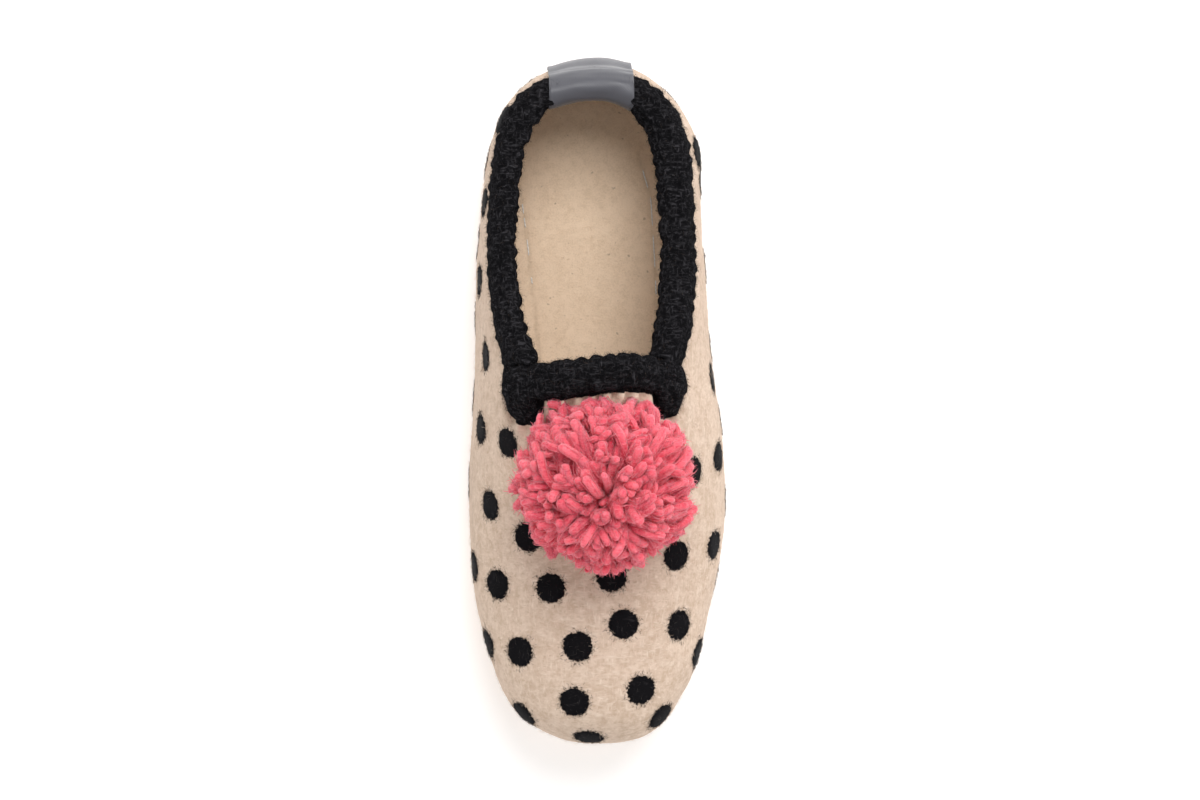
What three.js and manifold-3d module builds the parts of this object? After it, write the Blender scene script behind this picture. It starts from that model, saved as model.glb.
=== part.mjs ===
// Felt loafer slipper for a left foot, standing empty on its sole.
// Millimetres, +Z up, toe toward -Y, heel toward +Y, outer side of the foot toward +X.
// The origin lies on the floor, under the middle of the slipper.

import * as THREE from 'three';
import { mergeVertices } from 'three/addons/utils/BufferGeometryUtils.js';
import Module from 'manifold-3d';

const wasm = await Module();
wasm.setup();

// Driving sizes of the felt form
const shoeLength = 260;
const ballWidth = 99;
const instepHeight = 99;
const toeBoxHeight = 65;
const heelHeight = 49.5;
const waistHeight = 28;
const heelBulgeHeight = 32;
const toeTipHeight = 39;
const toeSpring = 19;
const heelLift = 5;

// Walls and fits
const feltThickness = 3;
const soleThickness = 3;
const soleBandHeight = 8;
const soleLipHeight = 1.5;
const soleLipStep = 0.6;
const insoleThickness = 3.5;
const turnedInFelt = 0.12;
const fitGap = 0.3;

// Crocheted bands
const trimWidth = 13;
const trimPly = 2.7;
const trimPastEdge = 3;
const freeLean = 0.2;
const mostFurther = 4.5;
const trimOuterSwell = 1.5;
const swellStart = 0.35;
const earLength = 18.5;
const earWidth = 18.5;
const earOverlap = 4;
const earDrop = 4.5;

// Pompom
const pompomDiameter = 70;
const pompomHeight = 39;
const pompomAlong = 0.614;
const pompomSideways = -1.9;
const pompomSeatDepth = 6;
const lockWidth = 12;
const lockLength = 3.5;
const lockCount = 42;
const lockSides = 5;
const lockRootShare = 0.7;
const lockBellyShare = 0.95;
const lockCoverage = 1.35;

// Ribbon tag
const tagWidth = 32;
const tagThickness = 0.9;
const tagOutsideHeight = 23;
const tagInsideHeight = 42;
const tagSideways = -3.6;

// Fineness of the faceted surfaces
const ringCount = 30;
const flatSteps = 1;
const flankSteps = 4;
const crownSteps = 7;
const flatEnd = 0.15;
const flankEnd = 0.45;
const collarSteps = 22;
const throatSteps = 10;
const bandSides = 10;
const cutterReach = 200;
const seekSteps = 40;

// Shares of the length between which the sole's lip and the footbed follow the underside
const soleHeelAlong = 0.05;
const soleToeAlong = 0.965;
const footbedHeelAlong = 0.06;
const footbedToeAlong = 0.95;
const undersideHeelAlong = 0.1;
const undersideToeAlong = 0.87;

// Roundness of the lower flank and of the upper half of each cross section, 2 being an ellipse
const flankRoundness = 1.85;
const crownRoundness = 2.1;
const leanRoundness = 1.4;
const bandRoundness = 3;
const wallBendRadius = 34;
const instepBendRadius = 300;

const soleDepth = soleThickness + fitGap;

// Plan outline: half widths on the inner and the outer side of the foot, and the flat part of the
// underside as a share of the half width. along runs from the heel, 0, to the toe, 1.
const planRows = [
  { along: 0, inner: 0, outer: 0, flat: 0.3 },
  { along: 0.012, inner: 0.172 * ballWidth, outer: 0.14 * ballWidth, flat: 0.36 },
  { along: 0.035, inner: 0.279 * ballWidth, outer: 0.236 * ballWidth, flat: 0.46 },
  { along: 0.07, inner: 0.367 * ballWidth, outer: 0.325 * ballWidth, flat: 0.56 },
  { along: 0.13, inner: 0.42 * ballWidth, outer: 0.397 * ballWidth, flat: 0.66 },
  { along: 0.2, inner: 0.448 * ballWidth, outer: 0.405 * ballWidth, flat: 0.7 },
  { along: 0.3, inner: 0.47 * ballWidth, outer: 0.418 * ballWidth, flat: 0.7 },
  { along: 0.4, inner: 0.474 * ballWidth, outer: 0.432 * ballWidth, flat: 0.7 },
  { along: 0.47, inner: 0.478 * ballWidth, outer: 0.455 * ballWidth, flat: 0.71 },
  { along: 0.55, inner: 0.489 * ballWidth, outer: 0.487 * ballWidth, flat: 0.72 },
  { along: 0.65, inner: 0.5 * ballWidth, outer: 0.497 * ballWidth, flat: 0.72 },
  { along: 0.75, inner: 0.489 * ballWidth, outer: 0.464 * ballWidth, flat: 0.7 },
  { along: 0.83, inner: 0.456 * ballWidth, outer: 0.417 * ballWidth, flat: 0.64 },
  { along: 0.89, inner: 0.406 * ballWidth, outer: 0.374 * ballWidth, flat: 0.55 },
  { along: 0.93, inner: 0.363 * ballWidth, outer: 0.318 * ballWidth, flat: 0.46 },
  { along: 0.96, inner: 0.305 * ballWidth, outer: 0.27 * ballWidth, flat: 0.4 },
  { along: 0.985, inner: 0.197 * ballWidth, outer: 0.195 * ballWidth, flat: 0.36 },
  { along: 1, inner: 0, outer: 0, flat: 0.3 },
];

// Side profile: rise of the sole's underside from the floor, height of the widest line, top of the
// closed form that the foot opening is cut from, and how far its outer side leans over the foot
const sideRows = [
  { along: 0, rise: heelBulgeHeight - soleDepth, widest: heelBulgeHeight, crown: heelBulgeHeight, lean: 0 },
  { along: 0.012, rise: 3.4 * heelLift, widest: 1.13 * waistHeight, crown: 0.8 * heelHeight, lean: 0.14 },
  { along: 0.035, rise: 1.94 * heelLift, widest: 1.11 * waistHeight, crown: 0.99 * heelHeight, lean: 0.24 },
  { along: 0.07, rise: heelLift, widest: 1.07 * waistHeight, crown: 1.2 * heelHeight, lean: 0.36 },
  { along: 0.13, rise: 0.45 * heelLift, widest: 1.04 * waistHeight, crown: 1.42 * heelHeight, lean: 0.42 },
  { along: 0.2, rise: 0, widest: waistHeight, crown: 0.805 * instepHeight, lean: 0.38 },
  { along: 0.3, rise: 0, widest: waistHeight, crown: 0.93 * instepHeight, lean: 0.34 },
  { along: 0.4, rise: 0, widest: waistHeight, crown: instepHeight, lean: 0.33 },
  { along: 0.47, rise: 0, widest: waistHeight, crown: instepHeight, lean: 0.38 },
  { along: 0.55, rise: 0, widest: waistHeight, crown: 0.9 * instepHeight, lean: 0.28 },
  { along: 0.65, rise: 0, widest: 1.02 * waistHeight, crown: 1.16 * toeBoxHeight, lean: 0.14 },
  { along: 0.75, rise: 0.13 * toeSpring, widest: 1.07 * waistHeight, crown: 1.037 * toeBoxHeight, lean: 0.05 },
  { along: 0.83, rise: 0.27 * toeSpring, widest: 1.16 * waistHeight, crown: 1.007 * toeBoxHeight, lean: 0 },
  { along: 0.89, rise: 0.46 * toeSpring, widest: 1.25 * waistHeight, crown: 0.995 * toeBoxHeight, lean: 0 },
  { along: 0.93, rise: 0.71 * toeSpring, widest: 1.32 * waistHeight, crown: 0.97 * toeBoxHeight, lean: 0 },
  { along: 0.96, rise: toeSpring, widest: 0.975 * toeTipHeight, crown: 0.932 * toeBoxHeight, lean: 0 },
  { along: 0.985, rise: 1.33 * toeSpring, widest: 0.99 * toeTipHeight, crown: 0.808 * toeBoxHeight, lean: 0 },
  { along: 1, rise: toeTipHeight - soleDepth, widest: toeTipHeight, crown: toeTipHeight, lean: 0 },
];

// Edge of the foot opening seen from the side, from heel to throat: share of the climb from the
// heel edge to the instep
const collarRows = [
  { along: 0, climb: 0 },
  { along: 0.05, climb: 0.01 },
  { along: 0.1, climb: 0.045 },
  { along: 0.153, climb: 0.1 },
  { along: 0.236, climb: 0.222 },
  { along: 0.295, climb: 0.333 },
  { along: 0.354, climb: 0.44 },
  { along: 0.404, climb: 0.58 },
  { along: 0.46, climb: 0.7 },
  { along: 0.55, climb: 0.8 },
];

// Raised front edge of the foot opening seen from above
const throatRows = [
  { across: -0.5, along: 0.474 },
  { across: -0.3, along: 0.461 },
  { across: -0.14, along: 0.454 },
  { across: 0, along: 0.447 },
  { across: 0.1, along: 0.445 },
  { across: 0.24, along: 0.453 },
  { across: 0.5, along: 0.474 },
];

// Height of the cupped side of the sole above its underside
const bandRows = [
  { along: 0.05, height: 0.68 * soleBandHeight },
  { along: 0.075, height: 0.95 * soleBandHeight },
  { along: 0.13, height: 1.01 * soleBandHeight },
  { along: 0.2, height: 1.12 * soleBandHeight },
  { along: 0.3, height: 0.98 * soleBandHeight },
  { along: 0.46, height: 0.94 * soleBandHeight },
  { along: 0.63, height: 1.11 * soleBandHeight },
  { along: 0.74, height: 1.32 * soleBandHeight },
  { along: 0.83, height: 1.42 * soleBandHeight },
  { along: 0.89, height: 1.28 * soleBandHeight },
  { along: 0.936, height: 0.93 * soleBandHeight },
  { along: 0.965, height: 0.59 * soleBandHeight },
];

// Stations are spread evenly round the two blunt ends, so the last closes as a smooth dome
function turnOf(along) {
  return Math.acos(1 - 2 * along) / Math.PI;
}

function alongOf(turn) {
  return (1 - Math.cos(turn * Math.PI)) / 2;
}

// Smooth curve through one column of a table that never swings past its rows
function curveThrough(rows, key, column, spread) {
  const stations = rows.map((row) => spread(row[key]));
  const values = rows.map((row) => row[column]);
  const final = rows.length - 1;
  const slopes = [];
  for (let i = 0; i < final; i += 1) {
    slopes.push((values[i + 1] - values[i]) / (stations[i + 1] - stations[i]));
  }
  const tangents = values.map((_, i) => {
    if (i === 0) return slopes[0];
    if (i === final) return slopes[final - 1];
    const product = slopes[i - 1] * slopes[i];
    return product > 0 ? (2 * product) / (slopes[i - 1] + slopes[i]) : 0;
  });
  return (place) => {
    const station = THREE.MathUtils.clamp(spread(place), stations[0], stations[final]);
    let i = 0;
    while (i < final - 1 && station > stations[i + 1]) {
      i += 1;
    }
    const span = stations[i + 1] - stations[i];
    const t = (station - stations[i]) / span;
    const rest = 1 - t;
    return values[i] * rest * rest * (1 + 2 * t) + values[i + 1] * t * t * (1 + 2 * rest)
      + span * t * rest * (tangents[i] * rest - tangents[i + 1] * t);
  };
}

const keepAsIs = (value) => value;
const innerHalf = curveThrough(planRows, 'along', 'inner', turnOf);
const outerHalf = curveThrough(planRows, 'along', 'outer', turnOf);
const flatShare = curveThrough(planRows, 'along', 'flat', turnOf);
const soleRise = curveThrough(sideRows, 'along', 'rise', turnOf);
const widestHeight = curveThrough(sideRows, 'along', 'widest', turnOf);
const crownHeight = curveThrough(sideRows, 'along', 'crown', turnOf);
const outerLean = curveThrough(sideRows, 'along', 'lean', turnOf);
const collarClimb = curveThrough(collarRows, 'along', 'climb', turnOf);
const throatAlong = curveThrough(throatRows, 'across', 'along', keepAsIs);
const bandHeight = curveThrough(bandRows, 'along', 'height', turnOf);

function lengthwise(along) {
  return shoeLength / 2 - along * shoeLength;
}

function collarHeight(along) {
  return heelHeight + collarClimb(along) * (instepHeight - heelHeight);
}

function halfWidth(along, side) {
  return side > 0 ? outerHalf(along) : innerHalf(along);
}

// Point of the closed last. side is 1 outward and -1 inward, climb runs from the middle of the
// underside, 0, over the flank and the widest line to the middle of the crown, 1.
function lastPoint(turn, side, climb) {
  if (climb > 1) return lastPoint(turn, -side, 2 - climb);
  const along = alongOf(turn);
  const half = halfWidth(along, side);
  const flat = half * flatShare(along);
  const keel = soleRise(along) + soleDepth;
  const widest = widestHeight(along);
  let x = (flat * climb) / flatEnd;
  let z = keel;
  if (climb > flankEnd) {
    const angle = ((climb - flankEnd) / (1 - flankEnd)) * (Math.PI / 2);
    const lean = side > 0 ? outerLean(along) * Math.sin(angle) ** leanRoundness : 0;
    x = half * Math.abs(Math.cos(angle)) ** (2 / crownRoundness) * (1 - lean);
    z = widest + (crownHeight(along) - widest) * Math.sin(angle) ** (2 / crownRoundness);
  } else if (climb > flatEnd) {
    const angle = ((climb - flatEnd) / (flankEnd - flatEnd)) * (Math.PI / 2);
    x = flat + (half - flat) * Math.sin(angle) ** (2 / flankRoundness);
    z = widest - (widest - keel) * Math.abs(Math.cos(angle)) ** (2 / flankRoundness);
  }
  return new THREE.Vector3(side * x, lengthwise(along), z);
}

function lastNormal(turn, side, climb) {
  const step = 0.002;
  const before = Math.max(turn - step, step);
  const after = Math.min(turn + step, 1 - step);
  const lengthways = lastPoint(after, side, climb).sub(lastPoint(before, side, climb));
  const crosswise = new THREE.Vector3(side, 0, 0);
  if (climb > flatEnd) {
    crosswise.copy(lastPoint(turn, side, climb + step)).sub(lastPoint(turn, side, climb - step));
  }
  return crosswise.cross(lengthways).multiplyScalar(side).normalize();
}

function skinPoint(turn, side, climb, offset) {
  return lastPoint(turn, side, climb).addScaledVector(lastNormal(turn, side, climb), offset);
}

function flipOutward(positions, triangles) {
  let volume = 0;
  for (let i = 0; i < triangles.length; i += 3) {
    const [a, b, c] = [0, 1, 2].map((k) => positions[triangles[i + k]]);
    volume += a.dot(b.clone().cross(c));
  }
  return volume < 0 ? triangles.reverse() : triangles;
}

// Closed skin over a row of rings, all with the same number of points, and a point at each end
function loft(rings, startPoint, endPoint) {
  const sides = rings[0].length;
  const positions = [...rings.flat(), startPoint, endPoint];
  const triangles = [];
  const startIndex = positions.length - 2;
  const endIndex = positions.length - 1;
  const lastRing = (rings.length - 1) * sides;
  for (let k = 0; k < sides; k += 1) {
    const next = (k + 1) % sides;
    triangles.push(startIndex, next, k, endIndex, lastRing + k, lastRing + next);
    for (let ring = 0; ring < rings.length - 1; ring += 1) {
      const here = ring * sides;
      const there = here + sides;
      triangles.push(here + k, here + next, there + next, here + k, there + next, there + k);
    }
  }
  const geometry = new THREE.BufferGeometry();
  const numbers = positions.flatMap((point) => point.toArray());
  geometry.setAttribute('position', new THREE.Float32BufferAttribute(numbers, 3));
  geometry.setIndex(flipOutward(positions, triangles));
  return toSolid(geometry);
}

function middleOf(ring) {
  const middle = new THREE.Vector3();
  ring.forEach((point) => middle.add(point));
  return middle.divideScalar(ring.length);
}

function toSolid(geometry) {
  geometry.deleteAttribute('normal');
  geometry.deleteAttribute('uv');
  const merged = mergeVertices(geometry, 1e-4);
  const mesh = new wasm.Mesh({
    numProp: 3,
    vertProperties: new Float32Array(merged.attributes.position.array),
    triVerts: new Uint32Array(merged.index.array),
  });
  return new wasm.Manifold(mesh);
}

function toGeometry(solid) {
  const mesh = solid.getMesh();
  const geometry = new THREE.BufferGeometry();
  geometry.setAttribute('position', new THREE.BufferAttribute(new Float32Array(mesh.vertProperties), 3));
  geometry.setIndex(new THREE.BufferAttribute(new Uint32Array(mesh.triVerts), 1));
  geometry.computeVertexNormals();
  return geometry;
}

// Whole last, grown by an offset or shrunk by a negative one
function lastSolid(offset) {
  const climbs = [];
  for (let i = 0; i < flatSteps; i += 1) {
    climbs.push((flatEnd * i) / flatSteps);
  }
  for (let i = 0; i < flankSteps; i += 1) {
    climbs.push(flatEnd + ((flankEnd - flatEnd) * i) / flankSteps);
  }
  for (let i = 0; i < crownSteps; i += 1) {
    climbs.push(flankEnd + ((1 - flankEnd) * i) / crownSteps);
  }
  const rings = [];
  for (let i = 1; i < ringCount; i += 1) {
    const turn = i / ringCount;
    const ring = climbs.map((climb) => skinPoint(turn, 1, climb, offset));
    ring.push(skinPoint(turn, 1, 1, offset));
    for (let k = climbs.length - 1; k > 0; k -= 1) {
      ring.push(skinPoint(turn, -1, climbs[k], offset));
    }
    rings.push(ring);
  }
  const heelTip = new THREE.Vector3(0, shoeLength / 2 + offset, heelBulgeHeight);
  const toeTip = new THREE.Vector3(0, -shoeLength / 2 - offset, toeTipHeight);
  return loft(rings, heelTip, toeTip);
}

// Block between two heights that follow the length, across the whole width
function sidewaysPrism(outline, halfDepth) {
  const shape = new THREE.Shape(outline);
  const geometry = new THREE.ExtrudeGeometry(shape, { depth: 2 * halfDepth, bevelEnabled: false });
  geometry.translate(0, 0, -halfDepth);
  const basis = new THREE.Matrix4().makeBasis(
    new THREE.Vector3(0, 1, 0),
    new THREE.Vector3(0, 0, 1),
    new THREE.Vector3(1, 0, 0),
  );
  geometry.applyMatrix4(basis);
  return toSolid(geometry);
}

function uprightPrism(outline, bottom, top) {
  const shape = new THREE.Shape(outline);
  const geometry = new THREE.ExtrudeGeometry(shape, { depth: top - bottom, bevelEnabled: false });
  geometry.translate(0, 0, bottom);
  return toSolid(geometry);
}

function stations(from, to, count) {
  return Array.from({ length: count + 1 }, (_, i) => from + ((to - from) * i) / count);
}

// Ring places of the last between two shares of the length, with both ends
function ringStations(from, to) {
  const rings = stations(0, 1, ringCount).map(alongOf);
  return [from, ...rings.filter((along) => along > from && along < to), to];
}

// Everything above the collar edge and behind the throat edge, drawn back by a gap
function openingSolid(gap) {
  const topline = ringStations(0, 0.5).map(
    (along) => new THREE.Vector2(lengthwise(along), collarHeight(along) + gap),
  );
  const sideOutline = [
    new THREE.Vector2(cutterReach, topline[0].y),
    ...topline,
    new THREE.Vector2(topline[topline.length - 1].x, cutterReach),
    new THREE.Vector2(cutterReach, cutterReach),
  ];
  const throat = stations(-0.5, 0.5, 10).map(
    (across) => new THREE.Vector2(across * ballWidth, lengthwise(throatAlong(across)) + gap),
  );
  const planOutline = [
    new THREE.Vector2(-cutterReach, throat[0].y),
    ...throat,
    new THREE.Vector2(cutterReach, throat[throat.length - 1].y),
    new THREE.Vector2(cutterReach, cutterReach),
    new THREE.Vector2(-cutterReach, cutterReach),
  ];
  const fromSide = sidewaysPrism(sideOutline, cutterReach);
  const fromAbove = uprightPrism(planOutline, 0, cutterReach);
  return fromSide.intersect(fromAbove);
}

// Everything below a height that follows the length
function belowHeight(heightAt, from, to) {
  const top = ringStations(from, to).map(
    (along) => new THREE.Vector2(lengthwise(along), heightAt(along)),
  );
  const outline = [
    new THREE.Vector2(cutterReach, -cutterReach),
    new THREE.Vector2(cutterReach, top[0].y),
    ...top,
    new THREE.Vector2(-cutterReach, top[top.length - 1].y),
    new THREE.Vector2(-cutterReach, -cutterReach),
  ];
  return sidewaysPrism(outline, cutterReach);
}

// Opening in the underside of the felt, inside the margin that is turned in over the sole
function undersidePrism(gap) {
  const shares = ringStations(undersideHeelAlong, undersideToeAlong);
  const margin = (along, side) => {
    return side * (halfWidth(along, side) * (flatShare(along) - turnedInFelt) - gap);
  };
  const outline = [
    ...shares.map((along) => new THREE.Vector2(margin(along, 1), lengthwise(along))),
    ...shares.reverse().map((along) => new THREE.Vector2(margin(along, -1), lengthwise(along))),
  ];
  outline[0].y -= gap;
  outline[outline.length - 1].y -= gap;
  const front = outline.length / 2;
  outline[front - 1].y += gap;
  outline[front].y += gap;
  return uprightPrism(outline, -soleDepth, toeSpring + feltThickness);
}

// Climb on the last at a height above the widest line
function climbAtHeight(along, height) {
  const widest = widestHeight(along);
  const lift = THREE.MathUtils.clamp((height - widest) / (crownHeight(along) - widest), 0, 1);
  const angle = Math.asin(lift ** (crownRoundness / 2));
  return flankEnd + ((1 - flankEnd) * angle) / (Math.PI / 2);
}

// Climb on the last at a distance to the side of the middle, above the widest line
function climbAcross(along, side, distance) {
  const turn = turnOf(along);
  let low = flankEnd;
  let high = 1;
  for (let i = 0; i < seekSteps; i += 1) {
    const middle = (low + high) / 2;
    if (Math.abs(lastPoint(turn, side, middle).x) > distance) {
      low = middle;
    } else {
      high = middle;
    }
  }
  return high;
}

// Rounded band swept along a path of places on the last. It reaches from trimPastEdge beyond the
// path, and further where a place says so, to the rest of its width on the felt, and bends round
// the wall.
function bandSolid(places, bendRadius, grow) {
  const points = places.map((place) => skinPoint(place.turn, place.side, place.climb, -feltThickness / 2));
  const rings = places.map((place, i) => {
    const halfPly = feltThickness / 2 + trimPly + (place.swell ?? 0) + grow;
    const pastEdge = trimPastEdge + (place.further ?? 0);
    const halfWide = (trimWidth - trimPastEdge + pastEdge) / 2;
    const before = points[Math.max(i - 1, 0)];
    const after = points[Math.min(i + 1, points.length - 1)];
    const forward = after.clone().sub(before).normalize();
    const outward = lastNormal(place.turn, place.side, place.climb);
    const intoFelt = outward.clone().cross(forward).normalize();
    const overrun = { 0: -grow, [places.length - 1]: grow }[i] ?? 0;
    const middle = points[i].clone().addScaledVector(forward, overrun);
    return Array.from({ length: bandSides }, (_, k) => {
      const angle = (2 * Math.PI * (k + 0.5)) / bandSides;
      const round = (value) => Math.sign(value) * Math.abs(value) ** (2 / bandRoundness);
      const inward = round(Math.cos(angle)) * (halfWide + grow) + halfWide - pastEdge;
      const bend = (Math.max(inward, 0) ** 2) / (2 * bendRadius);
      const lift = round(Math.sin(angle)) * halfPly - bend;
      return middle.clone().addScaledVector(intoFelt, inward).addScaledVector(outward, lift);
    });
  });
  return loft(rings, middleOf(rings[0]), middleOf(rings[rings.length - 1]));
}

// Share of the length at which the collar edge crosses the heel line
function heelEdgeAlong() {
  let low = 0.001;
  let high = 0.2;
  for (let i = 0; i < seekSteps; i += 1) {
    const middle = (low + high) / 2;
    if (crownHeight(middle) < collarHeight(middle)) {
      low = middle;
    } else {
      high = middle;
    }
  }
  return high;
}

// Corners where the collar edge meets the throat edge
function cornerAlong(side) {
  let along = 0.45;
  for (let i = 0; i < seekSteps; i += 1) {
    const climb = climbAtHeight(along, collarHeight(along));
    const across = lastPoint(turnOf(along), side, climb).x / ballWidth;
    along = throatAlong(across);
  }
  return along;
}

// The level cut leaves the inner face of a leaning wall longer, so the collar band goes further past
// the edge there
function collarPlaces() {
  const heelAlong = heelEdgeAlong();
  return stations(-1, 1, collarSteps).map((share) => {
    const side = share < 0 ? -1 : 1;
    const along = heelAlong + (cornerAlong(side) - heelAlong) * share * share;
    const turn = turnOf(along);
    const climb = climbAtHeight(along, collarHeight(along));
    const normal = lastNormal(turn, side, climb);
    const longer = feltThickness * (normal.z / Math.hypot(normal.x, normal.y));
    const further = THREE.MathUtils.clamp(longer - freeLean, 0, mostFurther);
    const swell = trimOuterSwell * THREE.MathUtils.clamp(share / swellStart, 0, 1);
    return { turn, side, climb, swell, further };
  });
}

function throatPlaces() {
  const corners = [-1, 1].map((side) => {
    const along = cornerAlong(side);
    return lastPoint(turnOf(along), side, climbAtHeight(along, collarHeight(along))).x;
  });
  return stations(corners[1], corners[0], throatSteps).map((x) => {
    const side = x < 0 ? -1 : 1;
    const along = throatAlong(x / ballWidth);
    return { turn: turnOf(along), side, climb: climbAcross(along, side, Math.abs(x)) };
  });
}

// Felt edge plus a gap, as the slot that a folded band leaves for it
function wallSleeve(gap) {
  return lastSolid(gap).subtract(lastSolid(-feltThickness - gap)).subtract(openingSolid(gap));
}

const collarForm = (grow) => bandSolid(collarPlaces(), wallBendRadius, grow);
const throatForm = (grow) => bandSolid(throatPlaces(), instepBendRadius, grow);

// Drooping end of the throat band: a rounded flap that lies on the felt, toeward of the corner
function earForm(side, grow) {
  const along = cornerAlong(side);
  const root = skinPoint(turnOf(along), side, climbAtHeight(along, collarHeight(along)), 0);
  const tipAlong = along + earLength / shoeLength;
  const tipClimb = climbAtHeight(tipAlong, root.z - earDrop);
  const tip = skinPoint(turnOf(tipAlong), side, tipClimb, 0);
  const outward = lastNormal(turnOf(tipAlong), side, tipClimb);
  const forward = tip.clone().sub(root).normalize();
  const across = forward.clone().cross(outward).normalize();
  outward.crossVectors(across, forward);
  const ball = new THREE.SphereGeometry(1, 10, 6);
  ball.scale(earWidth / 2 + grow, (earLength + earOverlap) / 2 + grow, feltThickness + trimPly + grow);
  ball.applyMatrix4(new THREE.Matrix4().makeBasis(across, forward, outward));
  const middle = root.clone().add(tip).divideScalar(2).addScaledVector(forward, -earOverlap / 2);
  ball.translate(middle.x, middle.y, middle.z);
  return toSolid(ball);
}

const earForms = (grow) => earForm(-1, grow).add(earForm(1, grow));

function makeUpper() {
  return lastSolid(0)
    .subtract(lastSolid(-feltThickness))
    .subtract(openingSolid(0))
    .subtract(undersidePrism(0));
}

function makeOutsole() {
  const lipTop = (along) => soleRise(along) + bandHeight(along);
  const cup = lastSolid(soleDepth).intersect(belowHeight(lipTop, soleHeelAlong, soleToeAlong));
  const lipBottom = (along) => lipTop(along) - soleLipHeight;
  const lip = lastSolid(soleDepth + soleLipStep)
    .intersect(belowHeight(lipTop, soleHeelAlong, soleToeAlong))
    .subtract(belowHeight(lipBottom, soleHeelAlong, soleToeAlong));
  return cup.add(lip).subtract(lastSolid(fitGap));
}

function makeInsole() {
  const top = (along) => soleRise(along) + soleDepth + feltThickness + fitGap + insoleThickness;
  const plate = lastSolid(-feltThickness - fitGap);
  const plug = undersidePrism(fitGap).intersect(lastSolid(0));
  return plate.add(plug).intersect(belowHeight(top, footbedHeelAlong, footbedToeAlong));
}

function makeThroatTrim() {
  const band = throatForm(0).subtract(wallSleeve(fitGap));
  const ears = earForms(0).subtract(lastSolid(fitGap));
  return band.add(ears);
}

function makeCollarTrim() {
  return collarForm(0)
    .subtract(wallSleeve(fitGap))
    .subtract(throatForm(fitGap))
    .subtract(earForms(fitGap));
}

// One tapered lock of yarn that points away from the middle of the pompom
function lockSolid(direction, radii) {
  const turnToDirection = new THREE.Quaternion().setFromUnitVectors(new THREE.Vector3(0, 0, 1), direction);
  const surface = direction.clone().multiply(radii);
  const ringAt = (share, width) => Array.from({ length: lockSides }, (_, k) => {
    const angle = (2 * Math.PI * k) / lockSides;
    const point = new THREE.Vector3(Math.cos(angle) * width, Math.sin(angle) * width, 0);
    return point.applyQuaternion(turnToDirection).addScaledVector(surface, share);
  });
  const tuft = ringAt(1, lockWidth / 3).map((point) => point.addScaledVector(direction, lockLength / 2));
  const rings = [ringAt(lockRootShare, lockWidth / 3), ringAt(lockBellyShare, lockWidth / 2), tuft];
  const tip = surface.clone().addScaledVector(direction, lockLength);
  return loft(rings, middleOf(rings[0]), tip);
}

function makePompom() {
  const turn = turnOf(pompomAlong);
  const seat = lastPoint(turn, 1, 1);
  const upward = lastNormal(turn, 1, 1);
  const coreRadius = pompomDiameter / 2 - lockLength;
  const radii = new THREE.Vector3(coreRadius, coreRadius, pompomHeight - pompomSeatDepth - lockLength);
  const core = new THREE.SphereGeometry(1, 16, 10);
  core.scale(radii.x, radii.y, radii.z);
  let pompom = toSolid(core);
  const goldenAngle = Math.PI * (3 - Math.sqrt(5));
  for (let i = 0; i < lockCount; i += 1) {
    const height = 1 - (lockCoverage * (i + 0.5)) / lockCount;
    const reach = Math.sqrt(1 - height * height);
    const angle = i * goldenAngle;
    const direction = new THREE.Vector3(reach * Math.cos(angle), reach * Math.sin(angle), height);
    pompom = pompom.add(lockSolid(direction, radii));
  }
  const lean = new THREE.Quaternion().setFromUnitVectors(new THREE.Vector3(0, 0, 1), upward);
  const place = new THREE.Matrix4().compose(
    seat.clone().addScaledVector(upward, pompomSeatDepth).add(new THREE.Vector3(pompomSideways, 0, 0)),
    lean,
    new THREE.Vector3(1, 1, 1),
  );
  return pompom
    .transform(place.toArray())
    .subtract(lastSolid(fitGap))
    .subtract(throatForm(fitGap))
    .subtract(earForms(fitGap));
}

// Ribbon folded over the heel band: a thin skin round the band and both faces of the felt
function makeHeelTag() {
  const wrapped = (grow) => wallSleeve(grow).add(collarForm(grow));
  const skin = wrapped(fitGap + tagThickness).subtract(wrapped(fitGap));
  const heelEnd = lengthwise(0) + trimWidth;
  const innerEnd = lengthwise(0.2);
  const block = (bottom, top) => sidewaysPrism([
    new THREE.Vector2(innerEnd, bottom),
    new THREE.Vector2(heelEnd, bottom),
    new THREE.Vector2(heelEnd, top),
    new THREE.Vector2(innerEnd, top),
  ], tagWidth / 2).translate(tagSideways, 0, 0);
  const lowInside = block(0, tagInsideHeight).intersect(lastSolid(-feltThickness / 2));
  return skin.intersect(block(tagOutsideHeight, cutterReach)).subtract(lowInside);
}

const feltMaterial = new THREE.MeshStandardMaterial({ color: 0xe6dac8, roughness: 0.95, metalness: 0 });
const footbedMaterial = new THREE.MeshStandardMaterial({ color: 0xc4ae8c, roughness: 0.95, metalness: 0 });
const soleMaterial = new THREE.MeshStandardMaterial({ color: 0xe2c190, roughness: 0.55, metalness: 0 });
const crochetMaterial = new THREE.MeshStandardMaterial({ color: 0x17171a, roughness: 0.95, metalness: 0 });
const yarnMaterial = new THREE.MeshStandardMaterial({ color: 0xe2657a, roughness: 0.9, metalness: 0 });
const ribbonMaterial = new THREE.MeshStandardMaterial({ color: 0x77787f, roughness: 0.45, metalness: 0 });

const group = new THREE.Group();
// The ribbon stands out behind the heel, so the felt lies half of that toward the toe
group.position.y = -(fitGap + tagThickness) / 2;

function addPiece(name, solid, material) {
  const mesh = new THREE.Mesh(toGeometry(solid), material);
  mesh.name = name;
  group.add(mesh);
}

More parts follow.
